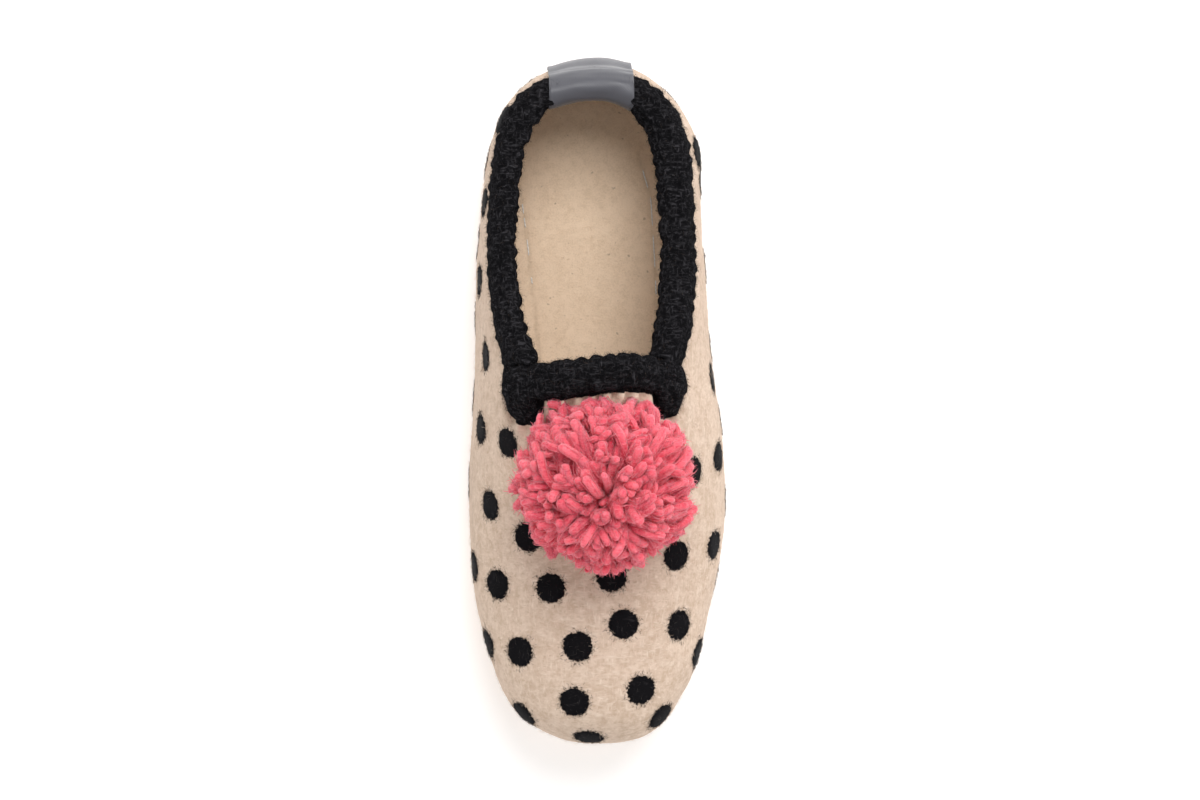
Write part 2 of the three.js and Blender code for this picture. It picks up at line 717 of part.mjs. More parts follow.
addPiece('outsole', makeOutsole(), soleMaterial);
addPiece('upper', makeUpper(), feltMaterial);
addPiece('insole', makeInsole(), footbedMaterial);
addPiece('collar_trim', makeCollarTrim(), crochetMaterial);
addPiece('throat_trim', makeThroatTrim(), crochetMaterial);
addPiece('pompom', makePompom(), yarnMaterial);
addPiece('heel_tag', makeHeelTag(), ribbonMaterial);

export default group;
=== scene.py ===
"""Looks of a felted loafer slipper: dotted wool felt, crocheted edging, yarn pompom, sewn sole and heel tag.

The file is laid out as a Blender add-on and is run as a script. Sizes are in metres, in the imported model's frame:
the toe points along -Y, the heel along +Y, and +X is the outer side of the left foot.
"""

import math

import bmesh
import bpy
import numpy as np
from bpy.props import FloatProperty, FloatVectorProperty, IntProperty, PointerProperty
from mathutils import Matrix, Vector, noise
from mathutils.bvhtree import BVHTree


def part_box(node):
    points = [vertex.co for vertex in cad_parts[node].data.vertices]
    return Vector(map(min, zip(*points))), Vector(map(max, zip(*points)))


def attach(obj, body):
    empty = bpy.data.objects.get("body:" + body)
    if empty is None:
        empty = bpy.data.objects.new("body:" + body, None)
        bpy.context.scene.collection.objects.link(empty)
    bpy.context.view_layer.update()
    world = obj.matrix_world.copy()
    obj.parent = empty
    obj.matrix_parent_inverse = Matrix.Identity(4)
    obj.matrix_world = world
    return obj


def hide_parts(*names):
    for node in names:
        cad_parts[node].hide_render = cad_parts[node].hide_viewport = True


bl_info = {
    "name": "Felt loafer slipper",
    "version": (1, 0, 0),
    "blender": (4, 5, 0),
    "location": "3D View > Sidebar > Slipper",
    "description": "Builds the felt, yarn, leather and ribbon looks of a loafer slipper",
    "category": "Object",
}

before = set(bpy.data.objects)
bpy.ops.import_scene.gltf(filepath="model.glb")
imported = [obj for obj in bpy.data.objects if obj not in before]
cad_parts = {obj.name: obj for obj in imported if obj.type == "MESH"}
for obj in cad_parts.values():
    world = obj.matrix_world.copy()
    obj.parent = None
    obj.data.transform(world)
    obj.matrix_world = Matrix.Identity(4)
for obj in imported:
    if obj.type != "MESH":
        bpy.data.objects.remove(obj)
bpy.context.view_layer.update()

MM = 0.001
DOWN = Vector((0, 0, -1))

# Weights that even out a row of values, each with its two neighbours
EVENING = (0.25, 0.5, 0.25)

# The photo's scale on the plane that is 28 mm above the floor, and the pixel over the slipper's middle
PHOTO_METRES_PER_PIXEL = 0.4506 * MM
PHOTO_MIDDLE_COLUMN = 742
PHOTO_MIDDLE_ROW = 420.5
PHOTO_PLANE_HEIGHT = 28 * MM
PHOTO_EYE = (-64 * MM, 9 * MM, 1300 * MM)

# Middles of the felted dots that the photo shows, as pixel column and row
DOT_COLUMNS_ROWS = [
    (661, 183), (646, 254), (642, 320), (646, 384), (643, 445), (665, 457), (650, 510), (637, 562), (657, 577),
    (702, 580), (754, 571), (683, 537), (649, 627), (676, 634), (725, 630), (764, 611), (811, 612), (779, 667),
    (722, 677), (679, 687), (796, 690), (734, 707), (827, 636), (809, 553), (841, 544), (824, 482), (845, 469),
    (839, 402), (837, 343), (835, 273), (827, 210), (843, 573),
]

# Dots on the flanks, heel and toe that the photo hides: where a level line meets the felt, in millimetres.
# side is -1 for the inner flank, 1 for the outer one
DOT_FLANK_ROWS = [
    {"side": -1, "along": 92, "height": 27},
    {"side": -1, "along": 60, "height": 26},
    {"side": -1, "along": 31, "height": 25},
    {"side": -1, "along": 1, "height": 25},
    {"side": -1, "along": -31, "height": 26},
    {"side": 1, "along": 84, "height": 27},
    {"side": 1, "along": 51, "height": 26},
    {"side": 1, "along": 20, "height": 25},
    {"side": 1, "along": -8, "height": 25},
    {"side": 1, "along": -39, "height": 26},
    {"side": 1, "along": -69, "height": 28},
]
DOT_HEEL_ROWS = [
    {"across": -26, "height": 25},
    {"across": 27, "height": 25},
    {"across": 1, "height": 17.5},
    {"across": 27.5, "height": 44},
]

# Soft folds that the felt keeps from moulding and wear, in millimetres, as troughs (depth above 0) or ridges (below 0)
FELT_CREASES = [
    {"start": (-41, 4, 66), "end": (-46, 26, 40), "width": 6, "depth": 0.7},
    {"start": (41, 6, 64), "end": (47, 28, 40), "width": 6, "depth": 0.7},
    {"start": (-38, -14, 66), "end": (-44, -44, 42), "width": 8, "depth": 0.6},
    {"start": (40, -12, 64), "end": (46, -40, 42), "width": 8, "depth": 0.6},
    {"start": (-26, -84, 52), "end": (8, -92, 55), "width": 9, "depth": 0.6},
    {"start": (-4, -104, 50), "end": (26, -98, 46), "width": 8, "depth": -0.5},
    {"start": (-30, 98, 46), "end": (-40, 60, 30), "width": 7, "depth": 0.6},
    {"start": (32, 98, 44), "end": (44, 62, 30), "width": 7, "depth": 0.5},
]


def size_property(name, description, millimetres):
    return FloatProperty(name=name, description=description, default=millimetres * MM, unit="LENGTH")


def colour_property(name, description, value):
    return FloatVectorProperty(name=name, description=description, default=value, size=3, subtype="COLOR")


class FeltSettings(bpy.types.PropertyGroup):
    """Sizes and colours of the dotted felt shell and the footbed."""

    cell: size_property("Mesh cell", "Cell of the felt mesh", 1.5)
    dot_diameter: size_property("Dot diameter", "Width of a felted dot", 11.4)
    dot_relief: size_property("Dot relief", "How far a dot stands proud", 0.25)
    hair_length: size_property("Hair length", "Length of loose hairs", 2.6)
    cream: colour_property("Cream", "Felt ground colour", (0.640, 0.500, 0.397))
    cream_shade: colour_property("Cream shade", "Darker wool in the ground", (0.525, 0.395, 0.298))
    dot: colour_property("Dot", "Black wool of the dots", (0.0060, 0.0055, 0.0065))
    footbed: colour_property("Footbed", "Footbed wool", (0.840, 0.650, 0.475))
    footbed_shade: colour_property("Footbed shade", "Darker wool in the footbed", (0.680, 0.510, 0.355))
    thread: colour_property("Thread", "Sewing thread", (0.86, 0.84, 0.80))


class TrimSettings(bpy.types.PropertyGroup):
    """Sizes and colours of the crocheted bands."""

    pitch: size_property("Stitch pitch", "From one stitch to the next", 5.2)
    yarn: size_property("Yarn thickness", "Thickness of the crochet yarn", 3.5)
    black: colour_property("Black", "Crochet wool", (0.0045, 0.0043, 0.0050))
    fleck: colour_property("Fleck", "Brownish hairs in the wool", (0.16, 0.11, 0.085))


class PompomSettings(bpy.types.PropertyGroup):
    """Sizes and colours of the yarn pompom."""

    strands: IntProperty(name="Strands", description="Number of yarn strands", default=800, min=100)
    fibres: IntProperty(name="Fibres", description="Loose fibres that lie on each strand", default=5, min=0)
    yarn: size_property("Yarn thickness", "Thickness of one strand", 3.7)
    radius: size_property("Radius", "Half the pompom's width", 30.4)
    rise: size_property("Rise", "From the ball's middle to its top", 30.0)
    pink: colour_property("Pink", "Yarn colour", (0.92, 0.135, 0.180))
    # pale also gives painted light on the strands' tips, and deep gives painted shade at their roots
    pale: colour_property("Pale pink", "Paler strands and fuzz", (0.97, 0.27, 0.32))
    deep: colour_property("Deep pink", "Strands' roots and darker strands", (0.66, 0.040, 0.080))


class SoleSettings(bpy.types.PropertyGroup):
    """Sizes and colours of the sewn sole."""

    stitch_pitch: size_property("Stitch pitch", "From one stitch to the next", 9.0)
    stitch_length: size_property("Stitch length", "Thread seen in one stitch", 6.5)
    tan: colour_property("Tan", "Sole leather", (0.790, 0.560, 0.370))
    tan_shade: colour_property("Tan shade", "Darker leather in pores and wear", (0.640, 0.420, 0.250))
    amber: colour_property("Amber", "Line at the lip", (0.60, 0.27, 0.07))


class TagSettings(bpy.types.PropertyGroup):
    """Mesh and colour of the bare heel ribbon."""

    columns: IntProperty(name="Columns", description="Mesh columns across the ribbon", default=30, min=8)
    rows: IntProperty(name="Rows", description="Mesh rows along the ribbon", default=90, min=20)
    grey: colour_property("Grey", "Satin ribbon", (0.087, 0.087, 0.102))


class StageSettings(bpy.types.PropertyGroup):
    """The floor, the studio light and the camera."""

    focal: FloatProperty(name="Focal length", description="Camera focal length in millimetres", default=100.0)
    floor: colour_property("Floor", "Floor colour", (0.90, 0.90, 0.90))


# Small helpers for meshes

def settings(name):
    return getattr(bpy.context.scene, "slipper_" + name)


def new_object(name, mesh):
    made = bpy.data.objects.new(name, mesh)
    bpy.context.scene.collection.objects.link(made)
    return made


def node_mesh(node):
    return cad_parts[node].data


def copy_of_node(node, name):
    """A copy of a CAD node whose loose triangles are merged."""
    shape = bmesh.new()
    shape.from_mesh(node_mesh(node))
    bmesh.ops.remove_doubles(shape, verts=shape.verts, dist=0.005 * MM)
    mesh = bpy.data.meshes.new(name)
    shape.to_mesh(mesh)
    shape.free()
    return new_object(name, mesh)


def settle(piece):
    """Turns what the modifiers give into the piece's own plain mesh."""
    bpy.context.view_layer.update()
    graph = bpy.context.evaluated_depsgraph_get()
    mesh = bpy.data.meshes.new_from_object(piece.evaluated_get(graph), preserve_all_data_layers=True, depsgraph=graph)
    piece.modifiers.clear()
    piece.data = mesh
    mesh.name = piece.name
    mesh.shade_smooth()
    return piece


def soften(piece, cell, rounds):
    """Even cells over the piece, then smoothing that rubs the CAD facets out."""
    cells = piece.modifiers.new("cells", "REMESH")
    cells.mode = "VOXEL"
    cells.voxel_size = cell
    smooth = piece.modifiers.new("smooth", "SMOOTH")
    smooth.factor = 0.5
    smooth.iterations = rounds
    return settle(piece)


def read_vectors(items, name):
    out = np.empty(len(items) * 3, np.float32)
    items.foreach_get(name, out)
    return out.reshape(-1, 3).astype(float)


def places(mesh):
    return read_vectors(mesh.vertices, "co")


def directions(mesh):
    return read_vectors(mesh.vertex_normals, "vector")


def put_places(mesh, points):
    mesh.vertices.foreach_set("co", np.asarray(points, np.float32).ravel())
    mesh.update()


def push_out(mesh, distances):
    """Moves each vertex along its normal."""
    put_places(mesh, places(mesh) + directions(mesh) * distances[:, None])


def put_values(mesh, name, values):
    layer = mesh.attributes.get(name) or mesh.attributes.new(name, "FLOAT", "POINT")
    layer.data.foreach_set("value", np.asarray(values, np.float32))


def surface_of(mesh):
    return BVHTree.FromPolygons([v.co for v in mesh.vertices], [tuple(p.vertices) for p in mesh.polygons])


def lumps(points, size, seed):
    """A smooth random value from -1 to 1 at each point."""
    shift = Vector((seed * 7.1, seed * 3.3, seed * 5.7))
    return np.array([noise.noise(Vector(p) / size + shift) for p in points])


def bell(away, width):
    """1 where away is 0, and less and less to both sides of it."""
    return np.exp(-(away / width) ** 2)


def unit(vector):
    return vector / np.linalg.norm(vector)


def distance_to_line(points, start, end):
    start, end = np.array(start), np.array(end)
    run = end - start
    share = np.clip((points - start) @ run / (run @ run), 0, 1)
    return np.linalg.norm(points - start - share[:, None] * run, axis=1)


def distance_to_points(points, others):
    return np.min(np.linalg.norm(points[:, None, :] - others[None, :, :], axis=2), axis=1)


def run_lengths(path):
    """The length of the path up to each of its points."""
    return np.concatenate([[0], np.cumsum(np.linalg.norm(np.diff(path, axis=0), axis=1))])


def on_path(at, run, path):
    """The path's values at that length along it, where run says the length at each of its points."""
    return np.array([np.interp(at, run, column) for column in path.T])


def strand_mesh(name, strands, thickness, tones=None):
    """A mesh of open lines, one for each strand. It holds what the yarn tree reads: thickness and tone."""
    points, edges, widths, shades = [], [], [], []
    for number, strand in enumerate(strands):
        first = len(points)
        points.extend(tuple(p) for p in strand)
        edges.extend((first + i, first + i + 1) for i in range(len(strand) - 1))
        width = thickness[number] if hasattr(thickness, "__len__") else thickness
        widths.extend([width] * len(strand))
        shades.extend([tones[number] if tones is not None else 0.5] * len(strand))
    mesh = bpy.data.meshes.new(name)
    mesh.from_pydata(points, edges, [])
    put_values(mesh, "thickness", widths)
    put_values(mesh, "tone", shades)
    return new_object(name, mesh)


# Small helpers for node trees

def add(tree, kind, sockets=None, **options):
    """A node with its options set and its sockets fed by values or by other sockets."""
    made = tree.nodes.new(kind)
    for name, value in options.items():
        setattr(made, name, value)
    for key, value in (sockets or {}).items():
        feed(tree, made.inputs[key], value)
    return made


def feed(tree, socket, value):
    """Links the socket to another one, or gives it a value of its own."""
    if isinstance(value, bpy.types.NodeSocket):
        tree.links.new(value, socket)
    else:
        socket.default_value = value


def compute(tree, operation, first, second=0.0, clamp=False):
    return add(tree, "ShaderNodeMath", {0: first, 1: second}, operation=operation, use_clamp=clamp).outputs[0]


def plus(tree, first, second):
    return compute(tree, "ADD", first, second)


def minus(tree, first, second):
    return compute(tree, "SUBTRACT", first, second)


def times(tree, first, second):
    return compute(tree, "MULTIPLY", first, second)


def span(tree, value, low, high, start=0.0, end=1.0, smooth=False):
    """The value's way from low to high, laid on the way from start to end."""
    kind = "SMOOTHSTEP" if smooth else "LINEAR"
    sockets = {0: value, 1: low, 2: high, 3: start, 4: end}
    return add(tree, "ShaderNodeMapRange", sockets, interpolation_type=kind).outputs[0]


def blend_colours(tree, share, first, second):
    made = add(tree, "ShaderNodeMix", data_type="RGBA", blend_type="MIX")
    for index, value in ((0, share), (6, first), (7, second)):
        feed(tree, made.inputs[index], value)
    return made.outputs[2]


def noise_value(tree, vector, scale, detail=2.0, roughness=0.5, distortion=0.0):
    return add(tree, "ShaderNodeTexNoise", {"Vector": vector, "Scale": scale, "Detail": detail, "Roughness": roughness,
                                            "Distortion": distortion}).outputs[0]


def wave_value(tree, vector, scale, direction, **sockets):
    return add(tree, "ShaderNodeTexWave", {"Vector": vector, "Scale": scale, **sockets},
               wave_type="BANDS", bands_direction=direction).outputs[1]


def solid(colour):
    return (*colour, 1.0)


def new_group(name, kind, inputs, outputs):
    """An empty tree with named sockets, its input node and its output node."""
    tree = bpy.data.node_groups.new(name, kind)
    for label, socket, default in inputs:
        made = tree.interface.new_socket(label, in_out="INPUT", socket_type=socket)
        if default is not None:
            made.default_value = default
    for label, socket in outputs:
        tree.interface.new_socket(label, in_out="OUTPUT", socket_type=socket)
    return tree, tree.nodes.new("NodeGroupInput"), tree.nodes.new("NodeGroupOutput")


def run_tree(piece, tree, values):
    """Runs a geometry tree on the piece with its inputs set by name, and keeps the plain mesh."""
    modifier = piece.modifiers.new(tree.name, "NODES")
    modifier.node_group = tree
    for item in tree.interface.items_tree:
        if item.item_type == "SOCKET" and item.in_out == "INPUT" and item.name in values:
            modifier[item.identifier] = values[item.name]
    settle(piece)
    if not len(piece.data.polygons):
        raise RuntimeError(piece.name + " came out empty")
    return piece


def yarn_tree():
    """Turns each line of a mesh into a soft, slightly lumpy thread with rounded ends."""
    made = bpy.data.node_groups.get("yarn along lines")
    if made:
        return made
    tree, given, result = new_group("yarn along lines", "GeometryNodeTree", [
        ("Lines", "NodeSocketGeometry", None),
        ("Resample", "NodeSocketBool", True),
        ("Points", "NodeSocketInt", 10),
        ("Sides", "NodeSocketInt", 8),
        ("End Sharpness", "NodeSocketFloat", 8.0),
        ("Lump Height", "NodeSocketFloat", 0.0),
        ("Lumps Per Metre", "NodeSocketFloat", 700.0),
        ("Material", "NodeSocketMaterial", None),
    ], [("Yarn", "NodeSocketGeometry")])
    given = given.outputs
    lines = add(tree, "GeometryNodeMeshToCurve", {"Mesh": given["Lines"]}).outputs[0]
    even = add(tree, "GeometryNodeCurveSplineType", {"Curve": lines}, spline_type="CATMULL_ROM").outputs[0]
    even = add(tree, "GeometryNodeResampleCurve", {"Curve": even, "Count": given["Points"]}, mode="COUNT").outputs[0]
    lines = add(tree, "GeometryNodeSwitch", {"Switch": given["Resample"], "False": lines, "True": even},
                input_type="GEOMETRY").outputs[0]
    along = add(tree, "GeometryNodeSplineParameter").outputs["Factor"]
    lines = add(tree, "GeometryNodeStoreNamedAttribute", {"Geometry": lines, "Name": "reach", "Value": along},
                data_type="FLOAT", domain="POINT").outputs[0]
    # 0 in the middle of a thread and 1 at both ends, where the thread thins to a round tip
    centred = compute(tree, "ABSOLUTE", minus(tree, times(tree, along, 2.0), 1.0))
    thinned = compute(tree, "POWER", centred, given["End Sharpness"])
    fullness = compute(tree, "SQRT", compute(tree, "SUBTRACT", 1.0, thinned, clamp=True))
    width = add(tree, "GeometryNodeInputNamedAttribute", {"Name": "thickness"}, data_type="FLOAT").outputs[0]
    scale = times(tree, times(tree, width, 0.5), compute(tree, "MAXIMUM", fullness, 0.04))
    ring = add(tree, "GeometryNodeCurvePrimitiveCircle", {"Resolution": given["Sides"], "Radius": 1.0},
               mode="RADIUS").outputs[0]
    mesh = add(tree, "GeometryNodeCurveToMesh",
               {"Curve": lines, "Profile Curve": ring, "Scale": scale, "Fill Caps": True}).outputs[0]
    place = add(tree, "GeometryNodeInputPosition").outputs[0]
    normal = add(tree, "GeometryNodeInputNormal").outputs[0]
    bump = add(tree, "ShaderNodeTexNoise",
               {"Vector": place, "Scale": given["Lumps Per Metre"], "Detail": 1.0}).outputs[0]
    height = times(tree, minus(tree, bump, 0.5), given["Lump Height"])
    offset = add(tree, "ShaderNodeVectorMath", {0: normal, "Scale": height}, operation="SCALE").outputs[0]
    mesh = add(tree, "GeometryNodeSetPosition", {"Geometry": mesh, "Offset": offset}).outputs[0]
    mesh = add(tree, "GeometryNodeSetShadeSmooth", {"Geometry": mesh}).outputs[0]
    mesh = add(tree, "GeometryNodeRealizeInstances", {"Geometry": mesh}).outputs[0]
    mesh = add(tree, "GeometryNodeSetMaterial", {"Geometry": mesh, "Material": given["Material"]}).outputs[0]
    tree.links.new(mesh, result.inputs[0])
    return tree


def hair_tree():
    """Scatters short bent hairs over a surface, more of them where its hair_share is high."""
    made = bpy.data.node_groups.get("hairs on a surface")
    if made:
        return made
    tree, given, result = new_group("hairs on a surface", "GeometryNodeTree", [
        ("Surface", "NodeSocketGeometry", None),
        ("Hairs Per Square Metre", "NodeSocketFloat", 100000.0),
        ("Length", "NodeSocketFloat", 2.5 * MM),
        ("Thickness", "NodeSocketFloat", 0.1 * MM),
        ("Lie", "NodeSocketFloat", 0.6),
        ("Points", "NodeSocketInt", 3),
        ("Seed", "NodeSocketInt", 1),
        ("Material", "NodeSocketMaterial", None),
    ], [("Hairs", "NodeSocketGeometry")])
    given = given.outputs
    share = add(tree, "GeometryNodeInputNamedAttribute", {"Name": "hair_share"}, data_type="FLOAT").outputs[0]
    density = times(tree, share, given["Hairs Per Square Metre"])
    spread = add(tree, "GeometryNodeDistributePointsOnFaces",
                 {"Mesh": given["Surface"], "Density": density, "Seed": given["Seed"]}).outputs
    # One hair of unit length: it stands up where lie is 0 and lies down along X where lie is 1
    lie = given["Lie"]
    middle_x, middle_z = times(tree, lie, 0.25), minus(tree, 0.75, times(tree, lie, 0.35))
    middle = add(tree, "ShaderNodeCombineXYZ", {"X": middle_x, "Y": 0.05, "Z": middle_z}).outputs[0]
    tip_z = minus(tree, 1.0, times(tree, lie, 0.75))
    tip = add(tree, "ShaderNodeCombineXYZ", {"X": lie, "Y": -0.12, "Z": tip_z}).outputs[0]
    line = add(tree, "GeometryNodeCurveQuadraticBezier",
               {"Resolution": 8, "Start": (0.0, 0.0, -0.05), "Middle": middle, "End": tip}).outputs[0]
    line = add(tree, "GeometryNodeResampleCurve", {"Curve": line, "Count": given["Points"]}, mode="COUNT").outputs[0]
    along = add(tree, "GeometryNodeSplineParameter").outputs["Factor"]
    ratio = compute(tree, "DIVIDE", given["Thickness"], given["Length"])
    scale = times(tree, ratio, span(tree, along, 0.0, 1.0, 0.5, 0.2))
    ring = add(tree, "GeometryNodeCurvePrimitiveCircle", {"Resolution": 3, "Radius": 1.0}, mode="RADIUS").outputs[0]
    hair = add(tree, "GeometryNodeCurveToMesh", {"Curve": line, "Profile Curve": ring, "Scale": scale}).outputs[0]
    turn = add(tree, "FunctionNodeRandomValue", {"Min": 0.0, "Max": 2 * math.pi, "Seed": given["Seed"]},
               data_type="FLOAT").outputs[1]
    spin = add(tree, "FunctionNodeAxisAngleToRotation", {"Axis": (0.0, 0.0, 1.0), "Angle": turn}).outputs[0]
    aim = add(tree, "FunctionNodeRotateRotation", {"Rotation": spread["Rotation"], "Rotate By": spin},
              rotation_space="LOCAL").outputs[0]
    random_length = add(tree, "FunctionNodeRandomValue",
                        {"Min": 0.45, "Max": 1.2, "Seed": plus(tree, given["Seed"], 5.0)},
                        data_type="FLOAT").outputs[1]
    size = times(tree, random_length, given["Length"])
    hairs = add(tree, "GeometryNodeInstanceOnPoints",
                {"Points": spread["Points"], "Instance": hair, "Rotation": aim, "Scale": size}).outputs[0]
    hairs = add(tree, "GeometryNodeRealizeInstances", {"Geometry": hairs}).outputs[0]
    hairs = add(tree, "GeometryNodeSetMaterial", {"Geometry": hairs, "Material": given["Material"]}).outputs[0]
    tree.links.new(hairs, result.inputs[0])
    return tree


def hairs_on(name, surface, share, material, count, length, thickness, lie, seed, points=2):
    """Loose hairs that grow from a surface. share says how thick they stand at each of its vertices."""
    mesh = surface.data.copy()
    put_values(mesh, "hair_share", share)
    piece = new_object(name, mesh)
    area = sum(p.area * float(np.mean(share[list(p.vertices)])) for p in mesh.polygons)
    run_tree(piece, hair_tree(), {
        "Hairs Per Square Metre": count / max(area, 1e-9), "Length": length, "Thickness": thickness,
        "Lie": lie, "Points": points, "Seed": seed, "Material": material,
    })
    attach(piece, "root")
    return piece


def sew(name, stitches, thickness, shape):
    """Stitches of sewing thread along the given lines. shape holds inputs of the yarn tree."""
    thread = strand_mesh(name, stitches, thickness)
    return run_tree(thread, yarn_tree(), {**shape, "Material": shared_material("sewing thread", thread_material)})


# Materials

def new_material(name, roughness, **constants):
    """A material with its Principled shader. Values that are the same all over go on its own sockets."""
    made = bpy.data.materials.new(name)
    made.use_nodes = True
    tree = made.node_tree
    shader = tree.nodes["Principled BSDF"]
    shader.inputs["Roughness"].default_value = roughness
    for label, value in constants.items():
        shader.inputs[label.replace("_", " ")].default_value = value
    return made, tree, shader, add(tree, "ShaderNodeTexCoord").outputs["Object"]


# How three layers of fibres lie in matted wool: the turn of each and how far it is stretched
FIBRE_LAYERS = (
    ((0.3, 0.9, 0.2), (0.22, 1.0, 1.0)),
    ((1.1, 0.2, 0.8), (1.0, 0.22, 1.0)),
    ((0.5, 0.4, 1.7), (0.25, 1.0, 1.0)),
)


def wool_group():
    """Matted wool: a blotchy value, a fibre value and a height."""
    made = bpy.data.node_groups.get("matted wool")
    if made:
        return made
    tree, given, result = new_group("matted wool", "ShaderNodeTree", [
        ("Vector", "NodeSocketVector", None),
        ("Fibres Per Metre", "NodeSocketFloat", 900.0),
    ], [("Blotch", "NodeSocketFloat"), ("Fibre", "NodeSocketFloat"), ("Height", "NodeSocketFloat")])
    vector, scale = given.outputs[0], given.outputs[1]
    wide = noise_value(tree, vector, 70.0, 3.0, 0.6)
    middle = noise_value(tree, vector, 320.0, 3.0, 0.65)
    blotch = plus(tree, times(tree, wide, 0.3), times(tree, middle, 0.7))
    fibres = []
    for turn, stretch in FIBRE_LAYERS:
        laid = add(tree, "ShaderNodeMapping", {"Vector": vector, "Rotation": turn, "Scale": stretch}).outputs[0]
        fibres.append(noise_value(tree, laid, scale, 2.0, 0.6, 0.6))
    fibre = compute(tree, "MAXIMUM", compute(tree, "MAXIMUM", fibres[0], fibres[1]), fibres[2])
    height = plus(tree, times(tree, fibre, 0.55), times(tree, middle, 0.6))
    for index, value in enumerate((blotch, fibre, height)):
        tree.links.new(value, result.inputs[index])
    return tree


def wool_nodes(tree, vector, fibres_per_metre):
    """The outputs of the matted wool group: Blotch, Fibre and Height."""
    made = add(tree, "ShaderNodeGroup", node_tree=wool_group())
    tree.links.new(vector, made.inputs[0])
    made.inputs[1].default_value = fibres_per_metre
    return made.outputs


def attribute(tree, name):
    return add(tree, "ShaderNodeAttribute", attribute_name=name, attribute_type="GEOMETRY").outputs["Fac"]


def bumped(tree, shader, height, distance, strength=1.0):
    normal = add(tree, "ShaderNodeBump", {"Strength": strength, "Distance": distance, "Height": height}).outputs[0]
    tree.links.new(normal, shader.inputs["Normal"])


def felt_material():
    felt = settings("felt")
    made, tree, shader, vector = new_material("dotted wool felt", 0.92, Sheen_Weight=0.06, Sheen_Roughness=0.4,
                                              Specular_IOR_Level=0.04)
    wool = wool_nodes(tree, vector, 950.0)
    fibre = wool["Fibre"]
    blotches = span(tree, wool["Blotch"], 0.34, 0.62, smooth=True)
    ground = blend_colours(tree, blotches, solid(felt.cream_shade), solid(felt.cream))
    ground = blend_colours(tree, span(tree, fibre, 0.58, 0.76, 0.0, 0.55), ground, (0.80, 0.67, 0.56, 1.0))
    ground = blend_colours(tree, span(tree, fibre, 0.52, 0.42, 0.0, 0.6), ground, (0.45, 0.33, 0.24, 1.0))
    # The dots' edges are broken up by fine fibres and wander a little
    edge = noise_value(tree, vector, 900.0, 3.0, 0.7)
    wander = noise_value(tree, vector, 260.0, 1.0)
    away = attribute(tree, "dot_distance")
    frayed = times(tree, minus(tree, edge, 0.5), 0.6)
    wandered = times(tree, minus(tree, wander, 0.5), 0.16)
    inside = span(tree, plus(tree, away, plus(tree, frayed, wandered)), 1.04, 0.94, smooth=True)
    black = blend_colours(tree, span(tree, fibre, 0.62, 0.80, 0.0, 0.5), solid(felt.dot), (0.040, 0.036, 0.038, 1.0))
    colour = blend_colours(tree, inside, ground, black)
    # Round the bands the felt is painted black, partly the crochet's own black wool and partly painted shade where the
    # felt meets the bands, so that no cream shows through the crochet
    near = plus(tree, attribute(tree, "trim_distance"), times(tree, edge, 0.5))
    band_wool_and_shade = span(tree, near, 1.45, 1.15, smooth=True)
    tree.links.new(blend_colours(tree, band_wool_and_shade, colour, solid(felt.dot)), shader.inputs["Base Color"])
    bumped(tree, shader, wool["Height"], 0.5 * MM, 0.55)
    return made


def footbed_material():
    felt = settings("felt")
    made, tree, shader, vector = new_material("footbed felt", 0.95, Sheen_Weight=0.25, Sheen_Roughness=0.5,
                                              Specular_IOR_Level=0.15)
    wool = wool_nodes(tree, vector, 900.0)
    fine = noise_value(tree, vector, 1500.0, 3.0, 0.7)
    mottle = plus(tree, times(tree, wool["Blotch"], 0.5), times(tree, fine, 0.5))
    mottle = span(tree, mottle, 0.30, 0.60, smooth=True)
    ground = blend_colours(tree, mottle, solid(felt.footbed_shade), solid(felt.footbed))
    specks = noise_value(tree, vector, 420.0, 1.0)
    ground = blend_colours(tree, span(tree, specks, 0.74, 0.80, 0.0, 0.5), ground, (0.24, 0.17, 0.11, 1.0))
    # The footbed is painted darker along the sewn creases: painted shade in the creases
    seam = span(tree, attribute(tree, "seam_distance"), 0.0, 1.0, 0.28, 0.0, smooth=True)
    tree.links.new(blend_colours(tree, seam, ground, (0.30, 0.21, 0.13, 1.0)), shader.inputs["Base Color"])
    bumped(tree, shader, wool["Height"], 0.5 * MM, 0.6)
    return made


def plain_wool(name, dark, light, fibres_per_metre=1300.0, sheen=0.0, height=0.4 * MM):
    made, tree, shader, vector = new_material(name, 0.95, Sheen_Weight=sheen, Sheen_Roughness=0.4,
                                              Specular_IOR_Level=0.03)
    wool = wool_nodes(tree, vector, fibres_per_metre)
    lit = span(tree, wool["Fibre"], 0.52, 0.78, smooth=True)
    tree.links.new(blend_colours(tree, lit, solid(dark), solid(light)), shader.inputs["Base Color"])
    bumped(tree, shader, wool["Height"], height, 0.7)
    return made


